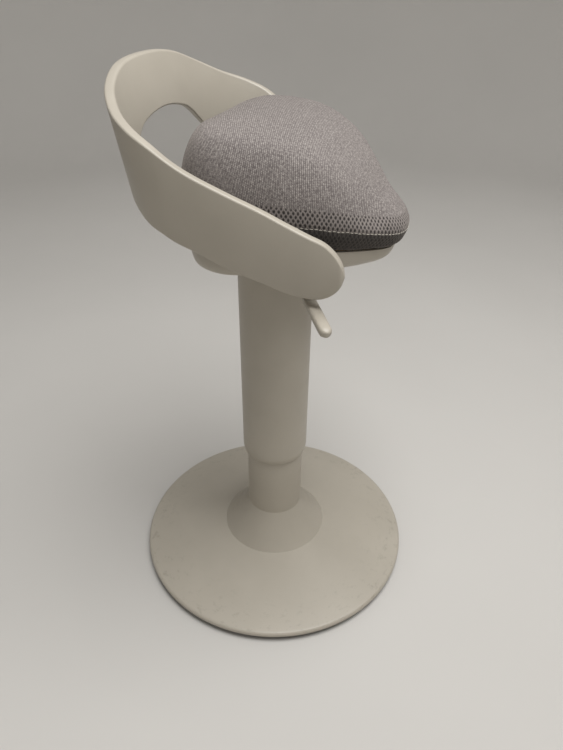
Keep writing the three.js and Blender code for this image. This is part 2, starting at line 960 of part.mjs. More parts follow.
// One ring of a seat piece: the outline drawn in by an inset and lifted to a level. Both are a
// number, or a function of the place between rear and front.
function seatRing(inset, level, facets) {
  const value = (size, y) => (typeof size === "function" ? size(y) : size);
  return Array.from({ length: facets }, (_, i) => {
    const at = outline.getPointAt(i / facets);
    const run = outline.getTangentAt(i / facets);
    const inwards_here = value(inset, at.y);
    const x = at.x + run.y * inwards_here;
    const y = at.y - run.x * inwards_here;
    return new THREE.Vector3(x, y, value(level, y));
  });
}

// Value between the seat's rear and its nose.
function alongSeat(y, rear, front) {
  return rear + (front - rear) * THREE.MathUtils.clamp((seat_rear - y) / seat_length, 0, 1);
}

function tuck(y) {
  return alongSeat(y, tuck_rear, tuck_front);
}

function roll(y) {
  return alongSeat(y, roll_rear, roll_front);
}

// Level of the pan's rim, which bends down towards the nose.
function rimLevel(y) {
  const nose = seat_length - seat_rear;
  const bend_share = THREE.MathUtils.clamp((-y - rim_drop_start) / (nose - rim_drop_start), 0, 1);
  return -rim_drop * bend_share ** 2;
}

function seamHeight(y) {
  return rimLevel(y) + alongSeat(y, seam_rear, seam_front);
}

function topHeight(y, rise) {
  return seamHeight(y) + alongSeat(y, shoulder_rear, shoulder_front)
    + rise * alongSeat(y, crown_rear, crown_front);
}

// How far the board's edge lies inside the seam.
function boardInset(y) {
  return tuck(y) + pan_wall + board_margin;
}

// Side of the cushion as shares of its tuck and of the height to the seam, then of its roll
// and of the shoulder.
const side_shares = [[1, 0], [0.75, 0.12], [0.4, 0.38], [0.14, 0.68], [0, 0.94]];
const roll_shares = [[0.06, 0.2], [0.24, 0.5], [0.56, 0.78], [1, 1]];
const crown_shares = [0.9, 0.78, 0.62, 0.44, 0.22];

// The underside lies flat on the board, and comes down round its edge to the pan's rim.
function cushion() {
  const bottom = (y) => rimLevel(y) + seat_gap;
  const rings = [
    [new THREE.Vector3(0, -seat_centre, seat_gap)],
    seatRing((y) => boardInset(y) - slide_gap, seat_gap, cushion_facets),
    seatRing((y) => tuck(y) + pan_wall, bottom, cushion_facets),
  ];
  side_shares.forEach(([inset_share, height_share]) => {
    rings.push(seatRing(
      (y) => tuck(y) * inset_share,
      (y) => bottom(y) + (seamHeight(y) - bottom(y)) * height_share,
      cushion_facets,
    ));
  });
  roll_shares.forEach(([inset_share, height_share]) => {
    rings.push(seatRing(
      (y) => roll(y) * inset_share,
      (y) => seamHeight(y) + alongSeat(y, shoulder_rear, shoulder_front) * height_share,
      cushion_facets,
    ));
  });
  crown_shares.forEach((shrink) => {
    const rim = seatRing(roll, 0, cushion_facets);
    rings.push(rim.map(({ x, y }) => {
      const inner_y = -seat_centre + (y + seat_centre) * shrink;
      const power = alongSeat(y, crown_rear_power_share, crown_front_power_share);
      return new THREE.Vector3(x * shrink, inner_y, topHeight(inner_y, 1 - shrink ** power));
    }));
  });
  rings.push([new THREE.Vector3(0, -seat_centre, topHeight(-seat_centre, 1))]);
  return skin(rings);
}

add(seat, "cushion", cushion(), knit_fabric);

// Pan under the cushion
const pan_profile_shares = [[0, 0], [0.04, 0.3], [0.12, 0.6], [0.28, 0.82], [0.6, 0.96], [1, 1]];
const pan_screws = [-1, 1].flatMap((side) => [-pan_screw_front, pan_screw_rear].map((y) => [
  side * pan_screw_x,
  y,
]));

function panSurface(offset) {
  return pan_profile_shares.map(([inset_share, depth_share]) => {
    const sweep = (y) => inset_share * alongSeat(y, pan_sweep_rear, pan_sweep_front);
    const floor = offset - pan_depth;
    return seatRing(
      (y) => tuck(y) + offset + sweep(y),
      (y) => rimLevel(y) + (floor - rimLevel(y)) * depth_share,
      pan_facets,
    );
  });
}

function screwHole(from, to) {
  return bar(screw_radius + seat_gap, from, to, screw_facets);
}

function seatPan() {
  const outer = panSurface(0);
  const inner = panSurface(pan_wall);
  const floor = (level) => [new THREE.Vector3(0, -seat_centre, level)];
  let pan = solid(skin([floor(-pan_depth), ...outer.reverse(), ...inner, floor(pan_wall - pan_depth)]));
  pan_screws.forEach(([x, y]) => {
    const boss = bar(pan_boss_radius, pan_wall / 2 - pan_depth, flange_top, small_facets);
    pan = pan.add(solid(boss.translate(x, y, 0)));
    pan = cut(pan, [
      screwHole(-pan_depth - cut_overrun, 0).translate(x, y, 0),
      bar(
        screw_head_radius + slide_gap,
        -pan_depth - cut_overrun,
        pan_wall + screw_head_height - pan_depth,
        screw_facets,
      ).translate(x, y, 0),
    ]);
  });
  const opening = bar(pan_opening, -pan_depth - cut_overrun, 0, medium_facets);
  const slot = towardsLever(block(
    -lever_slot_width / 2,
    lever_slot_width / 2,
    -lever_slot_reach,
    0,
    -pan_depth - cut_overrun,
    lever_slot_height - pan_depth,
  ));
  return shaped(cut(pan, [opening, slot, bracketStrap(1, slide_gap), bracketStrap(-1, slide_gap)]));
}

function panScrew(x, y) {
  return screwUp(
    screw_radius,
    screw_head_radius,
    screw_head_height,
    pan_wall + screw_head_height - pan_depth - seat_gap,
    screw_bite - board_thickness,
  ).translate(x, y, 0);
}

// Board that carries the cushion
function seatBoard() {
  const middle = (level) => [new THREE.Vector3(0, -seat_centre, level)];
  const board = solid(skin([
    middle(-board_thickness),
    seatRing(boardInset, -board_thickness, pan_facets),
    seatRing(boardInset, 0, pan_facets),
    middle(0),
  ]));
  const pilot = ([x, y], radius, depth) => bar(
    radius + seat_gap,
    -board_thickness - cut_overrun,
    depth + seat_gap - board_thickness,
    screw_facets,
  ).translate(x, y, 0);
  return shaped(cut(board, [
    ...pan_screws.map((place) => pilot(place, screw_radius, screw_bite)),
    ...flange_bolts.map((place) => pilot(place, bolt_radius, bolt_bite)),
    ...bracketScrewPlaces().map((place) => pilot(place, screw_radius, screw_bite)),
  ]));
}

// The same shape on the sitter's other side.
function mirrored(geometry) {
  const other = geometry.index ? geometry.toNonIndexed() : geometry.clone();
  const p = other.attributes.position;
  const corner = new THREE.Vector3();
  for (let i = 0; i < p.count; i += 3) {
    const face = [2, 1, 0].map((k) => corner.fromBufferAttribute(p, i + k).clone());
    face.forEach((q, k) => p.setXYZ(i + k, -q.x, q.y, q.z));
  }
  return other;
}

// Curves of the back band's rim and of its lower edge
const band_both_shares = [
  ...band_station_shares.slice(1).reverse().map(([along, across, ...rest]) => [along, -across, ...rest]),
  ...band_station_shares,
];
const band_rim_curve = new THREE.CatmullRomCurve3(band_both_shares.map(([along, across, rim]) => {
  return new THREE.Vector3(
    band_half * across,
    band_rear - band_depth * along,
    band_rim_tip + band_rim_rise * rim,
  );
}));
const band_edge_curve = new THREE.CatmullRomCurve3(band_both_shares.map(([, , , edge, lean], i) => {
  return new THREE.Vector3(i * band_thickness, band_edge_low + band_edge_rise * edge, band_lean * lean);
}));
const band_fine_steps = 600;
const band_run = Array.from({ length: band_fine_steps + 1 }, (_, i) => {
  return band_rim_curve.getPoint(i / band_fine_steps).setZ(0);
});
const band_lengths = band_run.reduce((lengths, p, i) => {
  lengths.push(i === 0 ? 0 : lengths[i - 1] + p.distanceTo(band_run[i - 1]));
  return lengths;
}, []);
const band_length = band_lengths[band_fine_steps];

// Place on the band's left half at a distance ahead of the column.
function bandAhead(forward) {
  const last = band_run.findLastIndex((p) => -p.y <= forward);
  return last / band_fine_steps;
}

// Inner face of the band at a place and a height: its point and its turn from straight ahead.
function bandInner(at, height) {
  const rim = band_rim_curve.getPoint(at);
  const run = band_rim_curve.getTangent(at).setZ(0).normalize();
  const { y: edge, z: lean } = band_edge_curve.getPoint(at);
  const inwards_here = band_thickness + lean * (rim.z - height) / (rim.z - edge);
  return { across: rim.x + run.y * inwards_here, turn: Math.atan2(-run.x, -run.y) };
}

const bracket_forward = bracket_along_share * seat_length - seat_rear;
const bracket_place = bandInner(bandAhead(bracket_forward), bracket_tab_top);
const bracket_turn = bracket_place.turn;
const bracket_face = bracket_place.across + bracket_sink; // tab's outer face, from the middle

// Puts a shape made for the left bracket, with its tab's face at X 0, on its side.
function atBracket(geometry, side) {
  const placed = geometry.rotateZ(-bracket_turn).translate(bracket_face, -bracket_forward, 0);
  return side > 0 ? placed : mirrored(placed);
}

const strap_top = flange_top;
const strap_bottom = strap_top - bracket_thickness;

function bracketStrap(side, grow) {
  return atBracket(block(
    bracket_inner - bracket_face - grow,
    grow,
    -bracket_width / 2 - grow,
    bracket_width / 2 + grow,
    strap_bottom - grow,
    strap_top + grow,
  ), side);
}

// The tab, or with a grow the pocket that it takes in the band, which is open to the inside.
function bracketTab(side, grow) {
  return atBracket(block(
    grow > 0 ? -bracket_thickness - band_thickness : -bracket_thickness,
    grow,
    -bracket_width / 2 - grow,
    bracket_width / 2 + grow,
    strap_bottom - grow,
    bracket_tab_top + grow,
  ), side);
}

const screw_offsets = [-1, 1].map((end) => end * bracket_screw_spread / 2);
const strap_screw_reach = bracket_inner + bracket_width / 2 - bracket_face;

function bracketScrewPlaces() {
  return [1, -1].flatMap((side) => screw_offsets.map((y) => {
    const place = new THREE.Vector3(strap_screw_reach, y, 0)
      .applyAxisAngle(new THREE.Vector3(0, 0, 1), -bracket_turn);
    return [side * (place.x + bracket_face), place.y - bracket_forward];
  }));
}

function bandBracket(side) {
  const holes = screw_offsets.flatMap((y) => [
    screwHole(strap_bottom - cut_overrun, strap_top + cut_overrun).translate(strap_screw_reach, y, 0),
    screwHole(-bracket_thickness - cut_overrun, cut_overrun)
      .rotateY(Math.PI / 2)
      .translate(0, y, band_screw_height),
  ]);
  return shaped(cut(
    joined([bracketStrap(side, 0), bracketTab(side, 0)]),
    holes.map((hole) => atBracket(hole, side)),
  ));
}

// Back band: a closed skin of rounded sections along its curve

// Places along the band, closer together where the paddles round off.
function bandPlaces() {
  const tip_steps = 7;
  const middle_steps = 36;
  const places = [];
  for (let i = 0; i <= tip_steps; i++) {
    places.push(band_paddle_round * (1 - Math.cos((i / tip_steps) * Math.PI / 2)));
  }
  for (let i = 1; i < middle_steps; i++) {
    places.push(band_paddle_round + (band_length - 2 * band_paddle_round) * i / middle_steps);
  }
  for (let i = tip_steps; i >= 0; i--) {
    places.push(band_length - band_paddle_round * (1 - Math.cos((i / tip_steps) * Math.PI / 2)));
  }
  return places;
}

function bandSection(length) {
  const i = THREE.MathUtils.clamp(band_lengths.findIndex((l) => l >= length), 1, band_fine_steps);
  const part = (length - band_lengths[i - 1]) / (band_lengths[i] - band_lengths[i - 1]);
  const at = (i - 1 + THREE.MathUtils.clamp(part, 0, 1)) / band_fine_steps;
  const rim = band_rim_curve.getPoint(at);
  const run = band_rim_curve.getTangent(at).setZ(0).normalize();
  const outward = new THREE.Vector3(-run.y, run.x, 0);
  const { y: edge, z: lean } = band_edge_curve.getPoint(at);
  const from_tip = Math.min(length, band_length - length);
  const roundness = from_tip >= band_paddle_round
    ? 1
    : Math.sqrt(Math.max(1 - (1 - from_tip / band_paddle_round) ** 2, 0.01));
  const half_thick = (band_thickness / 2) * Math.min(1, 0.3 + 1.4 * roundness);
  const half_height = ((rim.z - edge) / 2) * roundness;
  const corner = Math.min(half_thick, half_height);
  const middle = (rim.z + edge) / 2;
  const arc_steps = 4;
  const section = [];
  for (const end of [1, -1]) {
    for (let k = 0; k <= arc_steps; k++) {
      const turn = (k / arc_steps) * Math.PI + (end > 0 ? 0 : Math.PI);
      const high = middle + end * (half_height - corner) + corner * Math.sin(turn);
      const share = (rim.z - high) / (rim.z - edge);
      const out = half_thick * Math.cos(turn) - band_thickness / 2 - lean * share;
      section.push(rim.clone().setZ(high).addScaledVector(outward, out));
    }
  }
  return section;
}

function backBand() {
  const sections = bandPlaces().map(bandSection);
  const middle = (section) => section
    .reduce((sum, p) => sum.add(p), new THREE.Vector3())
    .divideScalar(section.length);
  const body = solid(skin([
    [middle(sections[0])],
    ...sections,
    [middle(sections[sections.length - 1])],
  ]));
  const cutters = [1, -1].flatMap((side) => [
    bracketTab(side, seat_gap),
    ...screw_offsets.map((y) => atBracket(
      screwHole(0, band_screw_bite + seat_gap).rotateY(Math.PI / 2).translate(0, y, band_screw_height),
      side,
    )),
  ]);
  return shaped(cut(body, cutters));
}

const band_screw_bite = band_thickness * 0.6;

function bandScrew(side, y) {
  const head = -bracket_thickness - seat_gap;
  return atBracket(turned([
    [0, head - screw_head_height],
    [screw_head_radius, head - screw_head_height],
    [screw_head_radius, head],
    [screw_radius, head],
    [screw_radius, band_screw_bite],
    [0, band_screw_bite],
  ], screw_facets).rotateY(Math.PI / 2).translate(0, y, band_screw_height), side);
}

add(seat, "seat_pan", seatPan(), satin_shell);
add(seat, "seat_board", seatBoard(), plywood);
pan_screws.forEach(([x, y], i) => {
  add(seat, `pan_screw_${i + 1}`, panScrew(x, y), bright_steel);
});
add(seat, "back_band", backBand(), satin_shell);
for (const [side, word] of [[1, "left"], [-1, "right"]]) {
  add(seat, `band_bracket_${word}`, bandBracket(side), black_steel);
  screw_offsets.forEach((y, i) => {
    add(seat, `band_screw_${word}_${i + 1}`, bandScrew(side, y), bright_steel);
  });
}
bracketScrewPlaces().forEach(([x, y], i) => {
  const screw = screwUp(
    screw_radius,
    screw_head_radius,
    screw_head_height,
    strap_bottom - seat_gap,
    screw_bite - board_thickness,
  );
  add(seat, `bracket_screw_${i + 1}`, screw.translate(x, y, 0), bright_steel);
});

export default stool;
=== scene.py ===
import bisect
import json
import math

import bmesh
import bpy
from mathutils import Matrix, Vector, kdtree
from mathutils.bvhtree import BVHTree

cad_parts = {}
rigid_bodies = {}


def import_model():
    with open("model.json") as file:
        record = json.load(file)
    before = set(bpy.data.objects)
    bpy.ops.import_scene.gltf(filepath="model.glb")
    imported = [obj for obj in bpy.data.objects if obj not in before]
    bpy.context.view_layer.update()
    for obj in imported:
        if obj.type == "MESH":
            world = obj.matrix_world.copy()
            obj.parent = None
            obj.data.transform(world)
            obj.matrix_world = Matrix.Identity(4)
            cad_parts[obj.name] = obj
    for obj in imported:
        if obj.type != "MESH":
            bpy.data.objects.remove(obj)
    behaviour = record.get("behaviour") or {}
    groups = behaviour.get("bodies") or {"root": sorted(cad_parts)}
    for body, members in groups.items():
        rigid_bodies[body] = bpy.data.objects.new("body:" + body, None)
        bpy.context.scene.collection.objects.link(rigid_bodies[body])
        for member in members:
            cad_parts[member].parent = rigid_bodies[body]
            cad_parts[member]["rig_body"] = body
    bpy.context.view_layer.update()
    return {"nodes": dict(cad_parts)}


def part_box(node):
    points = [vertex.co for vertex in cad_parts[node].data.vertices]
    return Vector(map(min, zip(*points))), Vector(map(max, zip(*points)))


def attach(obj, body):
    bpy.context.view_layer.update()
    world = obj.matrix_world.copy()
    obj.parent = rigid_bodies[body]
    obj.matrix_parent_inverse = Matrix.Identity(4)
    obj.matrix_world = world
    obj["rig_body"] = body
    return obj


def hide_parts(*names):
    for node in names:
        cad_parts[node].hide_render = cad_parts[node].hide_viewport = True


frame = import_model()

MM = 0.001
nodes = frame["nodes"]

# Levels and lengths read from the frame
cushion_low, cushion_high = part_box("cushion")
pan_low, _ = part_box("seat_pan")
cover_low, cover_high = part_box("base_cover")
sleeve_low, sleeve_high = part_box("column_sleeve")
_, foot_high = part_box("foot_ring")
board_low, board_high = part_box("seat_board")
strap_low, strap_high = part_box("band_bracket_left")
rim_level = board_high.z
seat_rear = cushion_high.y
seat_nose = cushion_low.y
seat_length = seat_rear - seat_nose
seat_centre = Vector((0, -22 * MM, 0))

# Seat's outline at the seam, from the rear's middle to the nose, as shares of its length and
# of its half width
seat_half = 143 * MM
seam_outline_shares = [
    (0, 0), (0.02, 0.35), (0.07, 0.64), (0.16, 0.89), (0.3, 1), (0.5, 0.92),
    (0.65, 0.78), (0.78, 0.62), (0.91, 0.39), (0.98, 0.2), (1, 0),
]

# Pan's rim, which bends down from a little ahead of the column, and the seam above it
rim_drop = 18 * MM
rim_drop_start = 20 * MM
seam_rise_rear = 50 * MM
seam_rise_front = 24 * MM

# Shoulder of the source's cushion, above the seam and in from it
shoulder_rear = 54 * MM
shoulder_front = 14 * MM
shoulder_inset = 17 * MM

# Cushion's top as the photograph shows it: how far its edge stands above the pan's rim, by
# shares of the seat's length and of the rise, and the roll from there down to the seam
top_rise = 128 * MM
top_rise_shares = [
    (0, 0.87), (0.07, 0.94), (0.16, 1), (0.32, 0.985), (0.48, 0.95), (0.6, 0.88), (0.7, 0.77),
    (0.8, 0.58), (0.88, 0.43), (1, 0.35),
]
top_crown = 4 * MM
top_roll_rear = 46 * MM
top_roll_front = 22 * MM
top_roll_power = 0.95

# How much of the roll the source's side wall becomes, and how much of its top the flat
wall_share = 0.6
flat_share = 0.8

# Pan
pan_wall = 4 * MM
pan_edge = 0.6 * MM
tuck_rear = 6 * MM
tuck_front = 16 * MM
pan_sweep_rear = 12 * MM
pan_sweep_front = 38 * MM
pan_opening = 44 * MM
pan_profile_shares = [
    (0, 0), (0.01, 0.12), (0.04, 0.3), (0.075, 0.46), (0.12, 0.6), (0.19, 0.72),
    (0.28, 0.82), (0.42, 0.9), (0.6, 0.96), (0.8, 0.99), (1, 1),
]
pan_places = 168
lever_turn = math.radians(54)
slot_half_width = 15 * MM
slot_reach = 118 * MM
slot_height = 14 * MM
boss_radius = 7 * MM
boss_sink = 0.3 * MM
boss_room = 0.2 * MM
screw_head_bore = 4.8 * MM
screw_bore = 2.4 * MM
screw_seat = 6.5 * MM
bore_steps = 32

# Back band, from the rear's middle to a paddle's end, as shares of its depth, half width,
# rim's rise, lower edge's rise and lean
band_rear = 180 * MM
band_depth = 309 * MM
band_half = 174 * MM
band_rim_tip = 20 * MM
band_rim_rise = 162 * MM
band_edge_low = -40 * MM
band_edge_rise = 161 * MM
band_lean = 20 * MM
band_station_shares = [
    (0, 0, 1, 1, 1), (0.01, 0.356, 0.969, 0.938, 0.95), (0.058, 0.626, 0.87, 0.722, 0.8),
    (0.142, 0.822, 0.765, 0.531, 0.75), (0.239, 0.948, 0.691, 0.42, 0.8),
    (0.337, 1, 0.611, 0.352, 0.9), (0.447, 0.983, 0.481, 0.272, 0.85),
    (0.576, 0.943, 0.364, 0.167, 0.7), (0.712, 0.891, 0.247, 0.074, 0.55),
    (0.796, 0.862, 0.167, 0.019, 0.45), (0.874, 0.839, 0.099, 0, 0.35),
    (0.939, 0.816, 0.049, 0.006, 0.25), (1, 0.805, 0, 0.025, 0.2),
]
band_thickness = 12 * MM
band_paddle_round = 30 * MM
band_lip_round = 3.2 * MM
band_middle_places = 150
band_tip_places = 14
band_corner_points = 6
band_section_points = 4 * band_corner_points
band_tip_roundness = 0.1
band_tip_thickness = 0.3
band_tip_growth = 1.4

# Brackets between the pan and the band
bracket_width = 30 * MM
bracket_thickness = 3 * MM
bracket_inner = 46 * MM
bracket_forward = 0.707 * seat_length - seat_rear
bracket_tab_top = 9 * MM
bracket_sink = 0.5 * MM
bracket_room = 0.5 * MM
pocket_room = 0.3 * MM

# Cushion's skin, and the cloth step that fills it out
first_voxel = 3.5 * MM
voxel = 4.5 * MM
start_shrink = 1.5 * MM
stretch_cap = 3.6 * MM
held_facing = -0.6
held_rise = 4 * MM
cloth_steps = 20

# Seam and its stitches
seam_places = 900
seam_groove = 1.8 * MM
seam_groove_reach = 4.5 * MM
stitch_pitch = 5.5 * MM
stitch_length = 4.2 * MM
stitch_radius = 0.5 * MM
stitch_lift = 0.2 * MM

# Knit: ribs of loops over the top, and the lattice in a zone along the seam
rib_pitch = 2.2 * MM
loop_pitch = 2.7 * MM
rib_turn = math.radians(-26)
rib_spread = 0.85
lattice_pitch = 5.4 * MM
lattice_stretch = 1.5
lattice_zone = 21 * MM
lattice_fade = 6 * MM
under_fade = 1 * MM

# Distances within which points are joined
weld = 0.01 * MM
weld_cushion = 0.05 * MM

# Camera that took the photograph
camera_place = Vector((-0.7474, -0.2720, 0.8908))
camera_aim = Vector((0.77845, 0.27260, -0.56541))
camera_roll = math.radians(0.62)
camera_lens = 30.216
camera_sensor = 36


# Materials


def screen(red, green, blue):
    """A colour read off a screen, as the linear values that a shader takes."""
    def linear(value):
        share = value / 255
        return share / 12.92 if share <= 0.04045 else ((share + 0.055) / 1.055) ** 2.4
    return tuple(linear(value) for value in (red, green, blue))


class Finish:
    """A material with its node tree, built up by short calls."""

    def __init__(self, name, roughness, metallic=0.0):
        self.material = bpy.data.materials.new(name)
        self.material.use_nodes = True
        self.tree = self.material.node_tree
        self.shader = self.tree.nodes["Principled BSDF"]
        self.shader.inputs["Roughness"].default_value = roughness
        self.shader.inputs["Metallic"].default_value = metallic

    def node(self, kind, **settings):
        made = self.tree.nodes.new(kind)
        for name, value in settings.items():
            setattr(made, name, value)
        return made

    def link(self, output, target):
        self.tree.links.new(output, target)

    def place(self, scale=(1, 1, 1)):
        """Object coordinates, scaled along each axis."""
        coordinates = self.node("ShaderNodeTexCoord")
        mapping = self.node("ShaderNodeMapping")
        mapping.inputs["Scale"].default_value = scale
        self.link(coordinates.outputs["Object"], mapping.inputs["Vector"])
        return mapping.outputs["Vector"]

    def own(self, name, part="Fac"):
        """A value that the piece carries for itself."""
        return self.node("ShaderNodeAttribute", attribute_name=name).outputs[part]

    def parts(self, vector):
        split = self.node("ShaderNodeSeparateXYZ")
        self.link(vector, split.inputs["Vector"])
        return split.outputs["X"], split.outputs["Y"], split.outputs["Z"]

    def clouds(self, vector, scale, detail=3.0, roughness=0.55):
        texture = self.node("ShaderNodeTexNoise")
        texture.inputs["Scale"].default_value = scale
        texture.inputs["Detail"].default_value = detail
        texture.inputs["Roughness"].default_value = roughness
        self.link(vector, texture.inputs["Vector"])
        return texture.outputs["Fac"]

    def ranged(self, value, low, high, out_low=0.0, out_high=1.0):
        spread = self.node("ShaderNodeMapRange")
        spread.inputs["From Min"].default_value = low
        spread.inputs["From Max"].default_value = high
        spread.inputs["To Min"].default_value = out_low
        spread.inputs["To Max"].default_value = out_high
        self.link(value, spread.inputs["Value"])
        return spread.outputs["Result"]

    def maths(self, operation, first, second=0.0):
        """A Math node over two values, each a socket or a number."""
        step = self.node("ShaderNodeMath", operation=operation)
        for socket, value in zip(step.inputs, (first, second)):
            if isinstance(value, (int, float)):
                socket.default_value = value
            else:
                self.link(value, socket)
        return step.outputs["Value"]

    def hump(self, value):
        """Rounded humps, one for each whole number, from 0 between them to 1 on top."""
        wave = self.maths("SINE", self.maths("MULTIPLY", value, math.pi))
        return self.maths("ABSOLUTE", wave)

    # A Mix node has its sockets for every kind of value at once: inputs 2 and 3 and output 0 are
    # for numbers, and inputs 6 and 7 and output 2 for colours

    def blend(self, share, first, second):
        """A colour between two, each a colour or a socket."""
        mix = self.node("ShaderNodeMix", data_type="RGBA")
        self.link(share, mix.inputs["Factor"])
        for socket, value in ((mix.inputs[6], first), (mix.inputs[7], second)):
            if isinstance(value, tuple):
                socket.default_value = (*value, 1)
            else:
                self.link(value, socket)
        return mix.outputs[2]

    def between(self, share, first, second):
        """A number between two sockets."""
        mix = self.node("ShaderNodeMix", data_type="FLOAT")
        self.link(share, mix.inputs["Factor"])
        self.link(first, mix.inputs[2])
        self.link(second, mix.inputs[3])
        return mix.outputs[0]

    def colour(self, value):
        self.link(value, self.shader.inputs["Base Color"])

    def rough(self, value):
        self.link(value, self.shader.inputs["Roughness"])

    def bump(self, height, distance, strength=1.0, over=None):
        relief = self.node("ShaderNodeBump")
        relief.inputs["Distance"].default_value = distance
        relief.inputs["Strength"].default_value = strength
        self.link(height, relief.inputs["Height"])
        if over is not None:
            self.link(over, relief.inputs["Normal"])
        self.link(relief.outputs["Normal"], self.shader.inputs["Normal"])
        return relief.outputs["Normal"]

    def grain(self, scale, depth, strength):
        """Fine relief all over."""
        self.bump(self.clouds(self.place(), scale, 2), depth, strength)


def taupe_plastic(name):
    """Moulded satin plastic: faint flow clouds and a fine spark-eroded grain."""
    finish = Finish(name, 0.4)
    flow = finish.clouds(finish.place(), 9, 4)
    share = finish.ranged(flow, 0.3, 0.7)
    tone = finish.blend(share, screen(171, 164, 151), screen(178, 171, 158))
    finish.colour(tone)
    smear = finish.clouds(finish.place((1, 1, 3)), 26, 5)
    finish.rough(finish.ranged(smear, 0.3, 0.7, 0.34, 0.46))
    finish.grain(1500, 0.12 * MM, 0.35)
    return finish, tone


def scuffed_plastic():
    """The same plastic with the marks that shoes leave low down on the base."""
    finish, tone = taupe_plastic("taupe_plastic_with_scuffed_foot")
    height = finish.parts(finish.place())[2]
    low_down = finish.ranged(height, 12 * MM, 30 * MM, 1, 0)
    streaks = finish.clouds(finish.place((6, 6, 40)), 12, 6, 0.7)
    worn = finish.maths("MULTIPLY", low_down, finish.ranged(streaks, 0.55, 0.66, 0, 0.45))
    finish.colour(finish.blend(worn, tone, screen(118, 110, 99)))
    return finish.material


def black_rubber():
    finish = Finish("black_rubber", 0.85)
    dust = finish.ranged(finish.clouds(finish.place(), 60, 5), 0.4, 0.7)
    finish.colour(finish.blend(dust, screen(38, 37, 36), screen(60, 58, 55)))
    finish.grain(900, 0.15 * MM, 0.5)
    return finish.material


def zinc_plate():
    finish = Finish("bright_zinc_plate", 0.3, 1.0)
    patches = finish.clouds(finish.place(), 140, 4)
    finish.colour(finish.blend(patches, screen(176, 178, 184), screen(206, 206, 206)))
    finish.rough(finish.ranged(finish.clouds(finish.place(), 400, 3), 0.3, 0.7, 0.24, 0.42))
    return finish.material


def powder_coat():
    """Satin black powder coat with its orange peel."""
    finish = Finish("satin_black_powder_coat", 0.5)
    clouds = finish.clouds(finish.place(), 40, 3)
    finish.colour(finish.blend(clouds, screen(33, 33, 35), screen(46, 46, 48)))
    finish.grain(1100, 0.2 * MM, 0.45)
    return finish.material


def sand_cast_iron():
    finish = Finish("sand_cast_iron", 0.75, 0.4)
    clouds = finish.clouds(finish.place(), 120, 6, 0.7)
    finish.colour(finish.blend(clouds, screen(60, 59, 58), screen(96, 92, 88)))
    finish.bump(clouds, 0.6 * MM, 0.7)
    return finish.material


def natural_nylon():
    finish = Finish("natural_nylon", 0.45)
    clouds = finish.clouds(finish.place(), 70, 3)
    finish.colour(finish.blend(clouds, screen(214, 210, 197), screen(226, 223, 213)))
    finish.shader.inputs["Subsurface Weight"].default_value = 0.15
    finish.shader.inputs["Subsurface Scale"].default_value = 2 * MM
    finish.grain(1200, 0.08 * MM, 0.4)
    return finish.material


def birch_plywood():
    """Long grain on the faces, and dark glue lines between the layers at the edge."""
    finish = Finish("birch_plywood", 0.62)
    grain = finish.clouds(finish.place((40, 3, 3)), 14, 6, 0.65)
    share = finish.ranged(grain, 0.3, 0.7)
    wood = finish.blend(share, screen(201, 169, 123), screen(224, 198, 158))
    height = finish.parts(finish.place())[2]
    layer = finish.hump(finish.maths("MULTIPLY", height, 1 / (1.5 * MM)))
    glue = finish.ranged(layer, 0.0, 0.3, 0.7, 0)
    finish.colour(finish.blend(glue, wood, screen(126, 92, 58)))
    finish.bump(grain, 0.2 * MM, 0.4)
    return finish.material


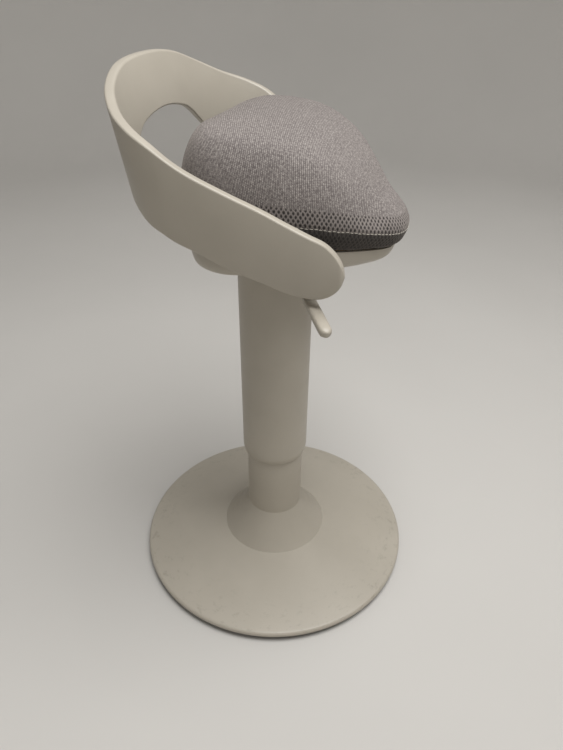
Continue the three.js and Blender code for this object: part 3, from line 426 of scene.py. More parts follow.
def spacer_knit():
    """Ribs of knit loops over the top, an open diamond lattice round the side above the seam
    and a close lattice under it, its colours darkened as painted shade."""
    finish = Finish("warm_grey_spacer_knit", 0.9)

    # Ribs, each with its loops set half a loop on from the last rib's
    across, along, _ = finish.parts(finish.own("top_place", "Vector"))
    rib = finish.maths("MULTIPLY", along, 1 / rib_pitch)
    shift = finish.maths("MULTIPLY", finish.maths("FLOOR", rib), 0.5)
    loop = finish.maths("ADD", finish.maths("MULTIPLY", across, 1 / loop_pitch), shift)
    loop_height = finish.ranged(finish.hump(loop), 0, 1, 0.68, 1)
    rounded = finish.maths("POWER", finish.hump(rib), 0.7)
    rib_height = finish.maths("MULTIPLY", rounded, loop_height)

    # Lattice of two slanting sets of strands
    round_side, risen, _ = finish.parts(finish.own("side_place", "Vector"))
    gone_round = finish.maths("MULTIPLY", round_side, 1 / lattice_pitch)
    gone_up = finish.maths("MULTIPLY", risen, 1 / (lattice_stretch * lattice_pitch))
    hole = finish.maths(
        "MULTIPLY",
        finish.hump(finish.maths("ADD", gone_round, gone_up)),
        finish.hump(finish.maths("SUBTRACT", gone_round, gone_up)),
    )
    strand = finish.ranged(hole, 0.15, 0.85, 1, 0)

    # Where each part lies, and the painted shade in the seam's fold, as shares the piece carries
    fray = finish.ranged(finish.clouds(finish.place(), 90, 2), 0.3, 0.7, -0.12, 0.12)
    side = finish.ranged(finish.maths("ADD", finish.own("lattice_share"), fray), 0.3, 0.7)
    under = finish.own("under_share")
    fold = finish.own("seam_shade_share")

    # Yarns
    fibre = finish.clouds(finish.place(), 1500, 3, 0.7)
    fleck = finish.ranged(finish.clouds(finish.place(), 420, 2, 0.6), 0.36, 0.68)
    top_yarn = finish.blend(fleck, screen(112, 105, 103), screen(166, 159, 154))
    top = finish.blend(finish.ranged(rib_height, 0.1, 0.85), screen(90, 84, 82), top_yarn)
    side_yarn = finish.blend(fibre, screen(112, 105, 102), screen(158, 150, 145))
    lattice = finish.blend(strand, screen(50, 47, 46), side_yarn)
    # Painted shade: under the seam the same knit's colours are darker
    painted_shade_below_yarn = finish.blend(fibre, screen(52, 49, 47), screen(84, 79, 75))
    below = finish.blend(strand, screen(48, 45, 43), painted_shade_below_yarn)
    cloth = finish.blend(under, finish.blend(side, top, lattice), below)
    # Painted shade: the knit is darkened in the seam's fold
    cloth = finish.blend(finish.ranged(fold, 0.4, 1, 0, 0.75), cloth, screen(40, 38, 36))

    shade = finish.node("ShaderNodeHueSaturation")
    faded = finish.ranged(finish.clouds(finish.place(), 7, 4), 0.3, 0.7, 0.93, 1.06)
    finish.link(faded, shade.inputs["Value"])
    finish.link(cloth, shade.inputs["Color"])
    finish.colour(shade.outputs["Color"])

    woven = finish.bump(finish.between(side, rib_height, strand), 0.55 * MM, 0.6)
    finish.bump(fibre, 0.12 * MM, 0.4, over=woven)
    finish.shader.inputs["Sheen Weight"].default_value = 0.3
    finish.shader.inputs["Sheen Roughness"].default_value = 0.5
    finish.shader.inputs["Sheen Tint"].default_value = (*screen(200, 192, 184), 1)
    finish.shader.inputs["Specular IOR Level"].default_value = 0.25
    return finish.material


def pale_thread():
    finish = Finish("pale_seam_thread", 0.75)
    twist = finish.clouds(finish.place(), 1800, 2)
    finish.colour(finish.blend(twist, screen(158, 151, 141), screen(204, 198, 186)))
    finish.shader.inputs["Sheen Weight"].default_value = 0.4
    return finish.material


finishes = {
    "satin_shell": taupe_plastic("warm_taupe_plastic")[0].material,
    "knit_fabric": spacer_knit(),
    "dark_rubber": black_rubber(),
    "bright_steel": zinc_plate(),
    "black_steel": powder_coat(),
    "cast_weight": sand_cast_iron(),
    "pale_nylon": natural_nylon(),
    "plywood": birch_plywood(),
}


# Making pieces


def mesh_from(bm, name):
    mesh = bpy.data.meshes.new(name)
    bm.to_mesh(mesh)
    bm.free()
    return mesh


def stand(name, data):
    made = bpy.data.objects.new(name, data)
    bpy.context.scene.collection.objects.link(made)
    return made


def piece_from(bm, name, body, slot, stands_for=(), material=None):
    """Stands a shape in the scene as a piece that rides on a body."""
    mesh = mesh_from(bm, name)
    mesh.materials.append(material or finishes[slot])
    piece = stand(name, mesh)
    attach(piece, body)
    if stands_for:
        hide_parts(*stands_for)
    return piece


def shade(bm, sharp_degrees=34):
    """Smooth faces, with edges kept sharp past an angle."""
    for face in bm.faces:
        face.smooth = True
    limit = math.radians(sharp_degrees)
    for edge in bm.edges:
        edge.smooth = len(edge.link_faces) == 2 and edge.calc_face_angle(0) < limit


def shade_piece(piece, sharp_degrees=34):
    bm = bmesh.new()
    bm.from_mesh(piece.data)
    shade(bm, sharp_degrees)
    bm.to_mesh(piece.data)
    bm.free()


def round_edges(piece, width, degrees=34):
    """Small rounds along a piece's sharp edges."""
    bevel = piece.modifiers.new("rounded_edges", "BEVEL")
    bevel.width = width
    bevel.segments = 3
    bevel.limit_method = "ANGLE"
    bevel.angle_limit = math.radians(degrees)
    bevel.harden_normals = True


def apply_modifiers(piece):
    bpy.context.view_layer.update()
    shape = piece.evaluated_get(bpy.context.evaluated_depsgraph_get())
    finished = bpy.data.meshes.new_from_object(shape)
    piece.modifiers.clear()
    piece.data = finished


def arc(centre, radius, start_degrees, end_degrees, steps=6):
    """Points of an arc in a profile, both ends among them."""
    sweep = end_degrees - start_degrees
    turns = [math.radians(start_degrees + sweep * i / steps) for i in range(steps + 1)]
    return [(centre[0] + radius * math.cos(t), centre[1] + radius * math.sin(t)) for t in turns]


def turned(profile, steps, closed=True):
    """What a profile of radius and height makes when it turns about Z."""
    bm = bmesh.new()
    verts = [bm.verts.new((radius, 0, height)) for radius, height in profile]
    pairs = list(zip(verts, verts[1:]))
    if closed:
        pairs.append((verts[-1], verts[0]))
    edges = [bm.edges.new(pair) for pair in pairs]
    bmesh.ops.spin(
        bm, geom=verts + edges, cent=(0, 0, 0), axis=(0, 0, 1), angle=2 * math.pi,
        steps=steps, use_merge=True,
    )
    bmesh.ops.remove_doubles(bm, verts=bm.verts, dist=weld)
    bmesh.ops.recalc_face_normals(bm, faces=bm.faces)
    return bm


def box_between(bm, low, high):
    """A box between two corners, as its new corners."""
    made = bmesh.ops.create_cube(bm, size=1)["verts"]
    bmesh.ops.scale(bm, vec=Vector(high) - Vector(low), verts=made)
    bmesh.ops.translate(bm, vec=(Vector(high) + Vector(low)) / 2, verts=made)
    return made


def cut_away(piece, cutters):
    """Takes the shapes of a bmesh away from a piece."""
    bmesh.ops.recalc_face_normals(cutters, faces=cutters.faces)
    tool = stand("cutters", mesh_from(cutters, "cutters"))
    cut = piece.modifiers.new("cut", "BOOLEAN")
    cut.operation = "DIFFERENCE"
    cut.solver = "EXACT"
    cut.object = tool
    apply_modifiers(piece)
    bpy.data.objects.remove(tool)


def ring_through(bm, points):
    """A closed ring of edges through points."""
    ring = bmesh.ops.create_circle(bm, segments=len(points), radius=1)["verts"]
    for vert, point in zip(ring, points):
        vert.co = point
    return ring


def walls_between(bm, rings):
    """Faces from each ring to the next."""
    loops = [
        [bm.edges.get(pair) for pair in zip(ring, [*ring[1:], ring[0]])]
        for ring in rings
    ]
    for first, second in zip(loops, loops[1:]):
        bmesh.ops.bridge_loops(bm, edges=first + second)


# Curves


def span_point(before, start, end, after, share):
    """A point of a smooth curve between two of its points, which leans on their neighbours by
    the square roots of the distances."""
    spans = ((before, start), (start, end), (end, after))
    d0, d1, d2 = ((b - a).length ** 0.5 for a, b in spans)
    leave = ((start - before) / d0 - (end - before) / (d0 + d1) + (end - start) / d1) * d1
    reach = ((end - start) / d1 - (after - start) / (d1 + d2) + (after - end) / d2) * d1
    s, s2, s3 = share, share ** 2, share ** 3
    return (
        start * (2 * s3 - 3 * s2 + 1) + leave * (s3 - 2 * s2 + s)
        + end * (3 * s2 - 2 * s3) + reach * (s3 - s2)
    )


def fine_curve(points, closed=False, steps=60):
    """A smooth curve through points, with the same number of steps between each two."""
    if closed:
        run = [points[-1], *points, points[0], points[1]]
    else:
        run = [2 * points[0] - points[1], *points, 2 * points[-1] - points[-2]]
    fine = [
        span_point(*run[k:k + 4], i / steps)
        for k in range(len(run) - 3)
        for i in range(steps)
    ]
    return fine if closed else [*fine, points[-1]]


def lengths_along(points):
    lengths = [0]
    for a, b in zip(points, points[1:]):
        lengths.append(lengths[-1] + (b - a).length)
    return lengths


def places_along(lengths, targets):
    """For each target length, in order, the step before it and the share of the way on."""
    i = 0
    for target in targets:
        while i < len(lengths) - 2 and lengths[i + 1] < target:
            i += 1
        yield i, (target - lengths[i]) / (lengths[i + 1] - lengths[i])


# Seat's shape


def clamped(value):
    return min(max(value, 0), 1)


def along_seat(y, rear, front):
    """Value between the seat's rear and its nose."""
    return rear + (front - rear) * clamped((seat_rear - y) / seat_length)


def rim_height(y):
    """Level of the pan's rim, which bends down towards the nose."""
    share = (-y - rim_drop_start) / (-seat_nose - rim_drop_start)
    return rim_level - rim_drop * clamped(share) ** 2


def seam_height(y):
    return rim_height(y) + along_seat(y, seam_rise_rear, seam_rise_front)


top_line = fine_curve([
    Vector((0, seat_length * along - seat_rear, top_rise * share))
    for along, share in top_rise_shares
])
top_steps = [p.y for p in top_line]


def top_edge(y):
    """Level of the cushion's top at its edge."""
    i = min(bisect.bisect(top_steps, -y), len(top_line) - 1)
    return rim_height(y) + top_line[i].z


def seat_outline(count):
    """Even points of the seat's outline at the seam, each with the way inwards."""
    half = [
        Vector((seat_half * across, seat_rear - seat_length * along, 0))
        for along, across in seam_outline_shares
    ]
    mirror = [Vector((-p.x, p.y, 0)) for p in reversed(half[1:-1])]
    fine = fine_curve(half + mirror, closed=True)
    fine.append(fine[0])
    lengths = lengths_along(fine)
    targets = [lengths[-1] * k / count for k in range(count)]
    outline = []
    for i, share in places_along(lengths, targets):
        run = fine[i + 1] - fine[i]
        inwards = Vector((run.y, -run.x, 0)).normalized()
        outline.append((fine[i].lerp(fine[i + 1], share), inwards))
    return outline


# Band's curves, from its end on the sitter's right round the rear to the other


def band_curves():
    mirrored = reversed(band_station_shares[1:])
    both = [(along, -across, *rest) for along, across, *rest in mirrored]
    both += band_station_shares
    rim = [
        Vector((
            band_half * across,
            band_rear - band_depth * along,
            band_rim_tip + band_rim_rise * share,
        ))
        for along, across, share, _, _ in both
    ]
    edge = [
        Vector((i * band_thickness, band_edge_low + band_edge_rise * share, band_lean * lean))
        for i, (_, _, _, share, lean) in enumerate(both)
    ]
    return fine_curve(rim), fine_curve(edge)


band_rim, band_edge = band_curves()
band_plan = [Vector((p.x, p.y, 0)) for p in band_rim]


def band_run(i, reach=4):
    """Which way the band runs in plan at a step."""
    before = band_plan[max(i - reach, 0)]
    after = band_plan[min(i + reach, len(band_plan) - 1)]
    return (after - before).normalized()


def band_inner(forward, height):
    """How far across the band's inner face stands on the left, this far ahead of the column,
    and how far it is turned there."""
    i = max(k for k, p in enumerate(band_plan) if -p.y <= forward)
    rim, (_, edge, lean), run = band_rim[i], band_edge[i], band_run(i)
    inwards = band_thickness + lean * (rim.z - height) / (rim.z - edge)
    return rim.x + run.y * inwards, math.atan2(-run.x, -run.y)


bracket_across, bracket_turn = band_inner(bracket_forward, bracket_tab_top)
bracket_face = bracket_across + bracket_sink


def at_bracket(bm, verts, side):
    """Puts a shape at a bracket's place; it is made with the tab's outer face at X 0."""
    heading = Matrix.Rotation(-bracket_turn, 3, "Z")
    bmesh.ops.rotate(bm, cent=(0, 0, 0), matrix=heading, verts=verts)
    bmesh.ops.translate(bm, vec=(bracket_face, -bracket_forward, 0), verts=verts)
    bmesh.ops.scale(bm, vec=(side, 1, 1), verts=verts)


# Base and column


def base_cover():
    """Turned cover: rounded foot edge, shallow cone, flare and the lower column."""
    radius, foot = cover_high.x, cover_low.z
    top = foot + 8 * MM
    rim = cover_high.z
    wall = 3 * MM
    foot_edge = 0.8 * MM
    edge_round = 5 * MM
    cone_steps = 6
    slope = 22 / 141
    flare_steps = 32
    flare_height = 57 * MM
    column = 45 * MM
    narrowing = 0.8 * MM
    rim_edge = 1 * MM
    flare_radius = column + 44 * MM
    flare_bottom = top + (radius - edge_round - flare_radius) * slope

    profile = [(radius - foot_edge, foot), (radius, foot + foot_edge)]
    profile += arc((radius - edge_round, top - edge_round), edge_round, 0, 86, 8)
    start = Vector((flare_radius, flare_bottom))
    low_pull = Vector((column + 10 * MM, flare_bottom + 34 * MM * slope))
    high_pull = Vector((column, flare_bottom + 24 * MM))
    end = Vector((column, flare_bottom + flare_height))
    for i in range(1, cone_steps):
        profile.append(tuple(Vector((radius - edge_round, top)).lerp(start, i / cone_steps)))
    for i in range(flare_steps + 1):
        t, u = i / flare_steps, 1 - i / flare_steps
        low_part = start * u ** 3 + low_pull * 3 * t * u ** 2
        profile.append(tuple(low_part + high_pull * 3 * t ** 2 * u + end * t ** 3))
    profile += [(column - narrowing, rim - rim_edge), (column - narrowing - rim_edge, rim)]
    profile += [(column - wall, rim), (column - wall, end.y)]
    profile += [(flare_radius, flare_bottom - wall), (radius - edge_round, top - wall)]
    profile += [(radius - wall, top - edge_round), (radius - wall, foot)]
    bm = turned(profile, steps=160)
    shade(bm, sharp_degrees=40)
    scuffed = scuffed_plastic()
    piece_from(bm, "base_cover_shell", "base", "satin_shell", ["base_cover"], scuffed)


def foot_ring():
    """Rubber ring with treads under it and a groove round its outside."""
    outer, top = foot_high.x, foot_high.z
    inner = outer - 26 * MM
    inner_edge = 1.2 * MM
    outer_round = 2 * MM
    groove = 1.2 * MM
    groove_shares = (0.5, 0.56, 0.68, 0.74)
    treads = 4
    tread_height = 1 * MM
    tread = (outer - inner - 2 * outer_round) / (2 * treads - 1)
    profile = [(inner, top), (inner, inner_edge), (inner + inner_edge, 0)]
    for i in range(treads):
        start = inner + outer_round + 2 * i * tread
        if i:
            profile += [(start - tread, tread_height), (start, tread_height), (start, 0)]
        if i < treads - 1:
            profile.append((start + tread, 0))
    profile += arc((outer - outer_round, outer_round), outer_round, -90, 0, 4)
    for share, depth in zip(groove_shares, (0, groove, groove, 0)):
        profile.append((outer - depth, top * share))
    profile.append((outer, top))
    bm = turned(profile, steps=160)
    shade(bm, sharp_degrees=40)
    piece_from(bm, "foot_ring_moulding", "base", "dark_rubber", ["foot_ring"])


def column_sleeve():
    """Outer sleeve: its lip rolls in to the column below, and its shoulder is round above."""
    low, high = sleeve_low.z, sleeve_high.z
    radius = 51.3 * MM
    top_radius = sleeve_high.x
    lip = 46 * MM
    lip_edge = 0.7 * MM
    lip_height = 15 * MM
    lip_steps = 10
    crown = 10 * MM
    wall = 3 * MM
    web = 24.3 * MM
    start = lip + wall / 2
    profile = [(lip, low + lip_edge), (lip + lip_edge, low)]
    for i in range(lip_steps + 1):
        turn = i / lip_steps * math.pi / 2
        out = start + (radius - start) * math.sin(turn)
        profile.append((out, low + lip_height * (1 - math.cos(turn))))
    profile += arc((top_radius - crown, high - crown), crown, 0, 90, 12)
    profile += [(web, high), (web, high - wall), (top_radius - crown, high - wall)]
    profile += [(top_radius - wall, high - crown), (radius - wall, low + lip_height)]
    profile += [(lip, low + wall)]
    bm = turned(profile, steps=144)
    shade(bm, sharp_degrees=40)
    piece_from(bm, "column_sleeve_shell", "seat", "satin_shell", ["column_sleeve"])


# Seat pan


def screw_places(height):
    """Where the pan's four screws stand, at one height."""
    for i in (1, 2, 3, 4):
        low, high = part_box(f"pan_screw_{i}")
        yield Vector(((low.x + high.x) / 2, (low.y + high.y) / 2, height))


def seat_pan():
    """Lofted shell: its rim bends down to the nose, and its side sweeps into a flat floor round
    the column."""
    floor = pan_low.z
    outline = seat_outline(pan_places)
    bm = bmesh.new()
    rings = []
    for inset_share, depth_share in pan_profile_shares:
        points = []
        for point, inwards in outline:
            inset = along_seat(point.y, tuck_rear, tuck_front)
            inset += inset_share * along_seat(point.y, pan_sweep_rear, pan_sweep_front)
            place = point + inwards * inset
            rim = rim_height(place.y)
            place.z = rim + (floor - rim) * depth_share
            points.append(place)
        rings.append(ring_through(bm, points))
    opening = []
    for point, _ in outline:
        aim = (point - seat_centre).normalized() * pan_opening
        opening.append(Vector((aim.x, aim.y, floor)))
    rings.append(ring_through(bm, opening))
    walls_between(bm, rings)
    bmesh.ops.recalc_face_normals(bm, faces=bm.faces)
    if min(bm.faces, key=lambda f: f.calc_center_median().z).normal.z > 0:
        bmesh.ops.reverse_faces(bm, faces=bm.faces)
    pan = piece_from(bm, "seat_pan_shell", "seat", "satin_shell", ["seat_pan"])
    wall = pan.modifiers.new("wall", "SOLIDIFY")
    wall.thickness = pan_wall
    wall.offset = -1
    wall.use_even_offset = True

    over = 2 * MM
    cutters = bmesh.new()
    slot = box_between(
        cutters,
        (-slot_half_width, -slot_reach, floor - over),
        (slot_half_width, -pan_opening / 2, floor + slot_height),
    )
    heading = Matrix.Rotation(-lever_turn, 3, "Z")
    bmesh.ops.rotate(cutters, cent=(0, 0, 0), matrix=heading, verts=slot)
    for place in screw_places(floor):
        recess = bmesh.ops.create_cone(
            cutters, cap_ends=True, segments=bore_steps,
            radius1=screw_head_bore, radius2=screw_head_bore, depth=8 * over,
        )["verts"]
        bmesh.ops.translate(cutters, vec=place, verts=recess)
    half = bracket_width / 2 + bracket_room
    low = (bracket_inner - bracket_face, -half, strap_low.z - bracket_room)
    high = (-bracket_thickness / 2, half, strap_low.z + bracket_thickness + bracket_room)
    for side in (1, -1):
        at_bracket(cutters, box_between(cutters, low, high), side)
    cut_away(pan, cutters)
    shade_piece(pan)
    round_edges(pan, pan_edge, degrees=40)


def pan_bosses():
    """Bosses in the pan round its four screws, with their counterbores."""
    floor = pan_low.z + boss_sink
    top = board_low.z - boss_room
    seat = pan_low.z + screw_seat
    bm = bmesh.new()
    for place in screw_places(0):
        boss = turned([
            (screw_head_bore, floor), (boss_radius, floor), (boss_radius, top),
            (screw_bore, top), (screw_bore, seat), (screw_head_bore, seat),
        ], bore_steps)
        bmesh.ops.translate(boss, vec=place, verts=boss.verts)
        mesh = mesh_from(boss, "boss")
        bm.from_mesh(mesh)
        bpy.data.meshes.remove(mesh)
    shade(bm)
    piece_from(bm, "pan_screw_bosses", "seat", "satin_shell")


# Back band


def back_band():
    """Lofted band: a tall rounded section that is carried along its curve and drawn in to a
    paddle at both ends."""
    lengths = lengths_along(band_plan)
    whole = lengths[-1]
    quarter = math.pi / 2 / band_tip_places
    tip = [band_paddle_round * (1 - math.cos(i * quarter)) for i in range(band_tip_places)]
    middle = whole - 2 * band_paddle_round
    steps = range(band_middle_places + 1)
    targets = tip + [band_paddle_round + middle * i / band_middle_places for i in steps]
    targets += [whole - place for place in reversed(tip)]

    bm = bmesh.new()
    rings = []
    for target, (i, share) in zip(targets, places_along(lengths, targets)):
        rim = band_rim[i].lerp(band_rim[i + 1], share)
        _, edge, lean = band_edge[i].lerp(band_edge[i + 1], share)
        run = band_run(i)
        outwards = Vector((-run.y, run.x, 0))
        from_tip = min(target, whole - target, band_paddle_round) / band_paddle_round
        roundness = max(math.sqrt(1 - (1 - from_tip) ** 2), band_tip_roundness)
        fullness = min(1, band_tip_thickness + band_tip_growth * roundness)
        half_thick = band_thickness / 2 * fullness
        half_height = (rim.z - edge) / 2 * roundness
        corner = min(band_lip_round, half_thick, half_height)
        centre = (rim.z + edge) / 2
        points = []
        for k in range(band_section_points):
            turn = (k + 0.5) / band_section_points * 2 * math.pi
            side = math.copysign(half_thick - corner, math.cos(turn))
            end = math.copysign(half_height - corner, math.sin(turn))
            height = centre + end + corner * math.sin(turn)
            share_down = (rim.z - height) / (rim.z - edge)
            out = side + corner * math.cos(turn) - band_thickness / 2 - lean * share_down
            points.append(Vector((rim.x, rim.y, rim_level + height)) + outwards * out)
        rings.append(ring_through(bm, points))
    walls_between(bm, rings)
    bmesh.ops.holes_fill(bm, edges=bm.edges[:], sides=band_section_points)
    bmesh.ops.recalc_face_normals(bm, faces=bm.faces)
    band = piece_from(bm, "back_band_shell", "seat", "satin_shell", ["back_band"])

    cutters = bmesh.new()
    half = bracket_width / 2 + pocket_room
    low = (-2 * band_thickness, -half, strap_low.z - pocket_room)
    high = (pocket_room, half, strap_high.z + pocket_room)
    for side in (1, -1):
        at_bracket(cutters, box_between(cutters, low, high), side)
    cut_away(band, cutters)
    shade_piece(band, sharp_degrees=50)


# Cushion


def is_held(place, normal):
    """The fabric is held flat on the board and tucked in at the pan's rim."""
    return normal.z < held_facing or place.z < rim_height(place.y) + held_rise


def turn_of(out):
    return math.atan2(out.x, -out.y)


def reaches_all_round(inset, count=720):
    """How far the seat's outline, set in, lies from the seat's middle, for even turns."""
    outline = seat_outline(2 * count)
    ring = [point + inwards * inset - seat_centre for point, inwards in outline]
    ring.sort(key=turn_of)
    turns = [turn_of(out) for out in ring]
    return [
        ring[min(bisect.bisect(turns, (k / (count - 1) - 0.5) * math.tau), len(ring) - 1)].length
        for k in range(count)
    ]


def reach_towards(out, reaches):
    return reaches[round((turn_of(out) / math.tau + 0.5) * (len(reaches) - 1))]


def flatten_top(cushion):
    """Gives the fabric the flat top and the rolled edge of the photograph's cushion. A point
    keeps its heading from the seat's middle, and goes round the roll by where it lies on the
    source's side wall or top."""
    outline, shoulder = reaches_all_round(0), reaches_all_round(shoulder_inset)
    for vert in cushion.data.vertices:
        above = vert.co.z - seam_height(vert.co.y)
        if above <= 0:
            continue
        out = Vector((vert.co.x, vert.co.y, 0)) - seat_centre
        share = out.length / reach_towards(out, shoulder)
        roll = along_seat(vert.co.y, top_roll_rear, top_roll_front)
        flat_reach = reach_towards(out, outline) - roll
        if share < 1:
            rolled = min(wall_share + (1 - wall_share) * (1 - share) / (1 - flat_share), 1)
        else:
            wall = along_seat(vert.co.y, shoulder_rear, shoulder_front)
            rolled = wall_share * min(above / wall, 1)
        turn = rolled * math.pi / 2
        reach = flat_reach * min(share / flat_share, 1)
        if share > flat_share:
            reach += roll * math.cos(turn) ** top_roll_power
        place = seat_centre + out.normalized() * reach
        edge = seam_height(place.y)
        edge += (top_edge(place.y) - edge) * math.sin(turn) ** top_roll_power
        crown = top_crown * max(1 - (reach / flat_reach) ** 2, 0)
        vert.co = (place.x, place.y, edge + crown)


def even_skin(piece, size):
    skin = piece.modifiers.new("skin", "REMESH")
    skin.mode = "VOXEL"
    skin.voxel_size = size
    apply_modifiers(piece)


def remeshed_cushion():
    """The source's cushion as an even skin, drawn in a little for the cloth step to fill out."""
    bm = bmesh.new()
    bm.from_mesh(nodes["cushion"].data)
    bmesh.ops.remove_doubles(bm, verts=bm.verts, dist=weld_cushion)
    bmesh.ops.recalc_face_normals(bm, faces=bm.faces)
    cushion = piece_from(bm, "cushion_fabric", "seat", "knit_fabric", ["cushion"])
    even_skin(cushion, first_voxel)
    flatten_top(cushion)
    even_skin(cushion, voxel)
    even = cushion.modifiers.new("even", "SMOOTH")
    even.factor = 0.5
    even.iterations = 5
    apply_modifiers(cushion)
    normals = [v.normal.copy() for v in cushion.data.vertices]
    for vert, normal in zip(cushion.data.vertices, normals):
        if not is_held(vert.co, normal):
            vert.co -= normal * start_shrink
    return cushion


def inflate(cushion):
    """Lets the fabric fill out under pressure, held at its underside, and caps how far each
    point goes."""
    start = [v.co.copy() for v in cushion.data.vertices]
    held = cushion.vertex_groups.new(name="held")
    for vert in cushion.data.vertices:
        if is_held(vert.co, vert.normal):
            held.add([vert.index], 1.0, "REPLACE")
    cloth = cushion.modifiers.new("fabric", "CLOTH")
    settings = cloth.settings
    settings.quality = 6
    settings.mass = 0.3
    settings.tension_stiffness = 30
    settings.compression_stiffness = 30
    settings.bending_stiffness = 2
    settings.use_pressure = True
    settings.uniform_pressure_force = 4
    settings.vertex_group_mass = "held"
    settings.effector_weights.gravity = 0
    cloth.point_cache.frame_start = 1
    cloth.point_cache.frame_end = cloth_steps
    for step in range(1, cloth_steps + 1):
        bpy.context.scene.frame_set(step)
    apply_modifiers(cushion)
    bpy.context.scene.frame_set(1)
    for vert, before in zip(cushion.data.vertices, start):
        move = vert.co - before
        if move.length > stretch_cap:
            vert.co = before + move.normalized() * stretch_cap
    cushion.vertex_groups.clear()


def seam_points():
    return [Vector((p.x, p.y, seam_height(p.y))) for p, _ in seat_outline(seam_places)]


def tree_of(points):
    tree = kdtree.KDTree(len(points))
    for i, point in enumerate(points):
        tree.insert(point, i)
    tree.balance()
    return tree


def shape_seam(cushion):
    """Draws the fabric in along the seam, and writes on the piece where each part of the knit
    lies and how much painted shade falls in the seam's fold."""
    outline = seat_outline(seam_places)
    spacing = (outline[1][0] - outline[0][0]).length
    near_seam = tree_of(seam_points())
    near_outline = tree_of([point for point, _ in outline])

    mesh = cushion.data
    carried = [
        ("top_place", "FLOAT_VECTOR"), ("side_place", "FLOAT_VECTOR"), ("lattice_share", "FLOAT"),
        ("under_share", "FLOAT"), ("seam_shade_share", "FLOAT"),
    ]
    for name, kind in carried:
        mesh.attributes.new(name, kind, "POINT")
    top_place, side_place, lattice_share, under_share, seam_shade_share = (
        mesh.attributes[name].data for name, _ in carried
    )
    normals = [v.normal.copy() for v in mesh.vertices]
    turn = Matrix.Rotation(rib_turn, 3, "Z")
    for i, vert in enumerate(mesh.vertices):
        place = vert.co.copy()
        flat = Vector((place.x, place.y, 0))
        near, _, distance = near_seam.find(place)
        _, index, _ = near_outline.find(flat)
        above = place.z - near.z
        down = max(top_edge(place.y) - place.z, 0)
        spread = flat - outline[index][1] * down * rib_spread
        top_place[i].vector = turn @ spread
        side_place[i].vector = (index * spacing, math.copysign(distance, above), 0)
        lattice_share[i].value = clamped((lattice_zone - distance) / lattice_fade + 0.5)
        under_share[i].value = clamped(0.5 - above / under_fade)
        fold = clamped(1 - distance / seam_groove_reach)
        # Share of painted shade in the seam's fold
        seam_shade_share[i].value = fold ** 2
        vert.co = place - normals[i] * seam_groove * fold ** 1.5


def cushion_piece():
    cushion = remeshed_cushion()
    inflate(cushion)
    rounder = cushion.modifiers.new("rounder", "SUBSURF")
    rounder.levels = 1
    rounder.render_levels = 1
    apply_modifiers(cushion)
    shape_seam(cushion)
    for face in cushion.data.polygons:
        face.use_smooth = True
    return cushion


def seam_stitches(cushion):
    """Pale stitches in the seam's fold, all round."""
    bm = bmesh.new()
    bm.from_mesh(cushion.data)
    surface = BVHTree.FromBMesh(bm)
    bm.free()
    seam = seam_points()
    seam.append(seam[0])
    lengths = lengths_along(seam)
    count = round(lengths[-1] / stitch_pitch)
    targets = [lengths[-1] * (k + 0.5) / count for k in range(count)]
    stitches = bmesh.new()
    for i, share in places_along(lengths, targets):
        place, normal, _, _ = surface.find_nearest(seam[i].lerp(seam[i + 1], share))
        run = (seam[i + 1] - seam[i]).normalized()
        across = normal.cross(run).normalized()
        axes = Matrix((run, across, normal)).transposed().to_4x4()
        size = Matrix.Diagonal((stitch_length / 2, stitch_radius, stitch_radius, 1))
        bmesh.ops.create_uvsphere(
            stitches, u_segments=8, v_segments=6, radius=1,
            matrix=Matrix.Translation(place + normal * stitch_lift) @ axes @ size,
        )
    shade(stitches, sharp_degrees=80)
    piece_from(stitches, "seam_stitches", "seat", "knit_fabric", material=pale_thread())


# Studio


def studio_floor():
    """Pale floor that curves up into a round wall."""
    wall_radius, wall_height, curve = 3.4, 3.6, 1.0
    profile = [(0, 0)]
    profile += arc((wall_radius - curve, curve), curve, -90, 0, 12)
    profile.append((wall_radius, wall_height))
    bm = turned(profile, steps=96, closed=False)
    for face in bm.faces:
        face.smooth = True
    floor = stand("studio_floor", mesh_from(bm, "studio_floor"))
    paper = Finish("pale_backdrop", 0.9)
    tone = paper.clouds(paper.place(), 1.5, 3)
    paper.colour(paper.blend(tone, screen(196, 193, 188), screen(205, 202, 197)))
    floor.data.materials.append(paper.material)


def soft_light(name, place, aim, size, watts):
    data = bpy.data.lights.new(name, "AREA")
    data.shape = "DISK"
    data.size = size
    data.energy = watts
    light = stand(name, data)
    turn = (Vector(aim) - Vector(place)).to_track_quat("-Z", "Y")
    light.matrix_world = Matrix.Translation(place) @ turn.to_matrix().to_4x4()


def light_studio():
    soft_light("overhead_panel", place=(-0.2, -0.6, 2.6), aim=(0, 0, 0.4), size=1.8, watts=62)
    soft_light("window_fill", place=(-2.2, -1.6, 1.9), aim=(0, 0, 0.5), size=1.6, watts=5)
    world = bpy.data.worlds.new("studio_air")
    world.use_nodes = True
    air = world.node_tree.nodes["Background"]
    air.inputs["Color"].default_value = (1, 0.995, 0.985, 1)
    air.inputs["Strength"].default_value = 0.28
    bpy.context.scene.world = world


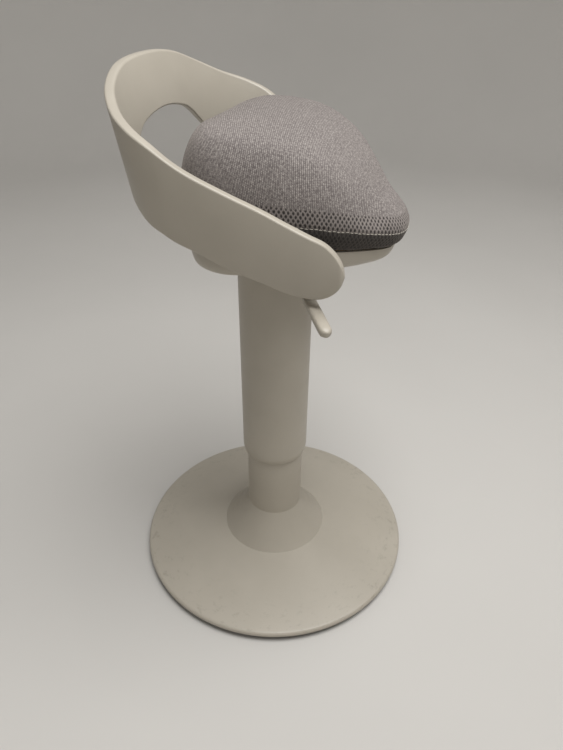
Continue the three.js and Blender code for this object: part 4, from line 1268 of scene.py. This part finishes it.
def place_camera():
    """Stands the camera where the photograph was taken from."""
    data = bpy.data.cameras.new("photo_camera")
    data.sensor_width = camera_sensor
    data.lens = camera_lens
    data.clip_start = 0.01
    data.clip_end = 60
    camera = stand("photo_camera", data)
    turn = camera_aim.to_track_quat("-Z", "Y").to_matrix().to_4x4()
    roll = Matrix.Rotation(camera_roll, 4, "Z")
    camera.matrix_world = Matrix.Translation(camera_place) @ turn @ roll
    bpy.context.scene.camera = camera


# CAD pieces that are carried over as merged copies, and how wide their edges are rounded

edge_rounds = {
    "glide_collar": 0.3 * MM,
    "seat_mount": 0.5 * MM,
    "seat_board": 0.6 * MM,
    "lever_arm": 0.4 * MM,
    "lever_grip": 0,
    "lever_pin": 0.3 * MM,
    "band_bracket_left": 0.5 * MM,
    "band_bracket_right": 0.5 * MM,
    "release_button": 0.4 * MM,
}
screw_edge = 0.25 * MM
made_anew = ["base_cover", "foot_ring", "column_sleeve", "seat_pan", "back_band", "cushion"]


def slot_of(node):
    return node.data.materials[0].name.split(".")[0]


def dressed(name, edge):
    """A merged copy of a CAD piece with its flats joined and its edges rounded."""
    node = nodes[name]
    bm = bmesh.new()
    bm.from_mesh(node.data)
    bmesh.ops.remove_doubles(bm, verts=bm.verts, dist=weld)
    bmesh.ops.dissolve_limit(
        bm, angle_limit=math.radians(1), use_dissolve_boundaries=False,
        verts=bm.verts, edges=bm.edges,
    )
    bmesh.ops.recalc_face_normals(bm, faces=bm.faces)
    shade(bm)
    piece = piece_from(bm, f"{name}_finished", node["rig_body"], slot_of(node), [name])
    if edge:
        round_edges(piece, edge)


def build():
    base_cover()
    foot_ring()
    column_sleeve()
    seat_pan()
    pan_bosses()
    back_band()
    seam_stitches(cushion_piece())
    for name, node in nodes.items():
        if name in edge_rounds:
            dressed(name, edge_rounds[name])
        elif "screw" in name or "bolt" in name:
            dressed(name, screw_edge)
        elif name not in made_anew:
            slot = slot_of(node)
            node.data.materials[0] = finishes[slot]


build()
studio_floor()
light_studio()
place_camera()
bpy.context.scene.view_settings.view_transform = "Standard"

bpy.context.view_layer.update()
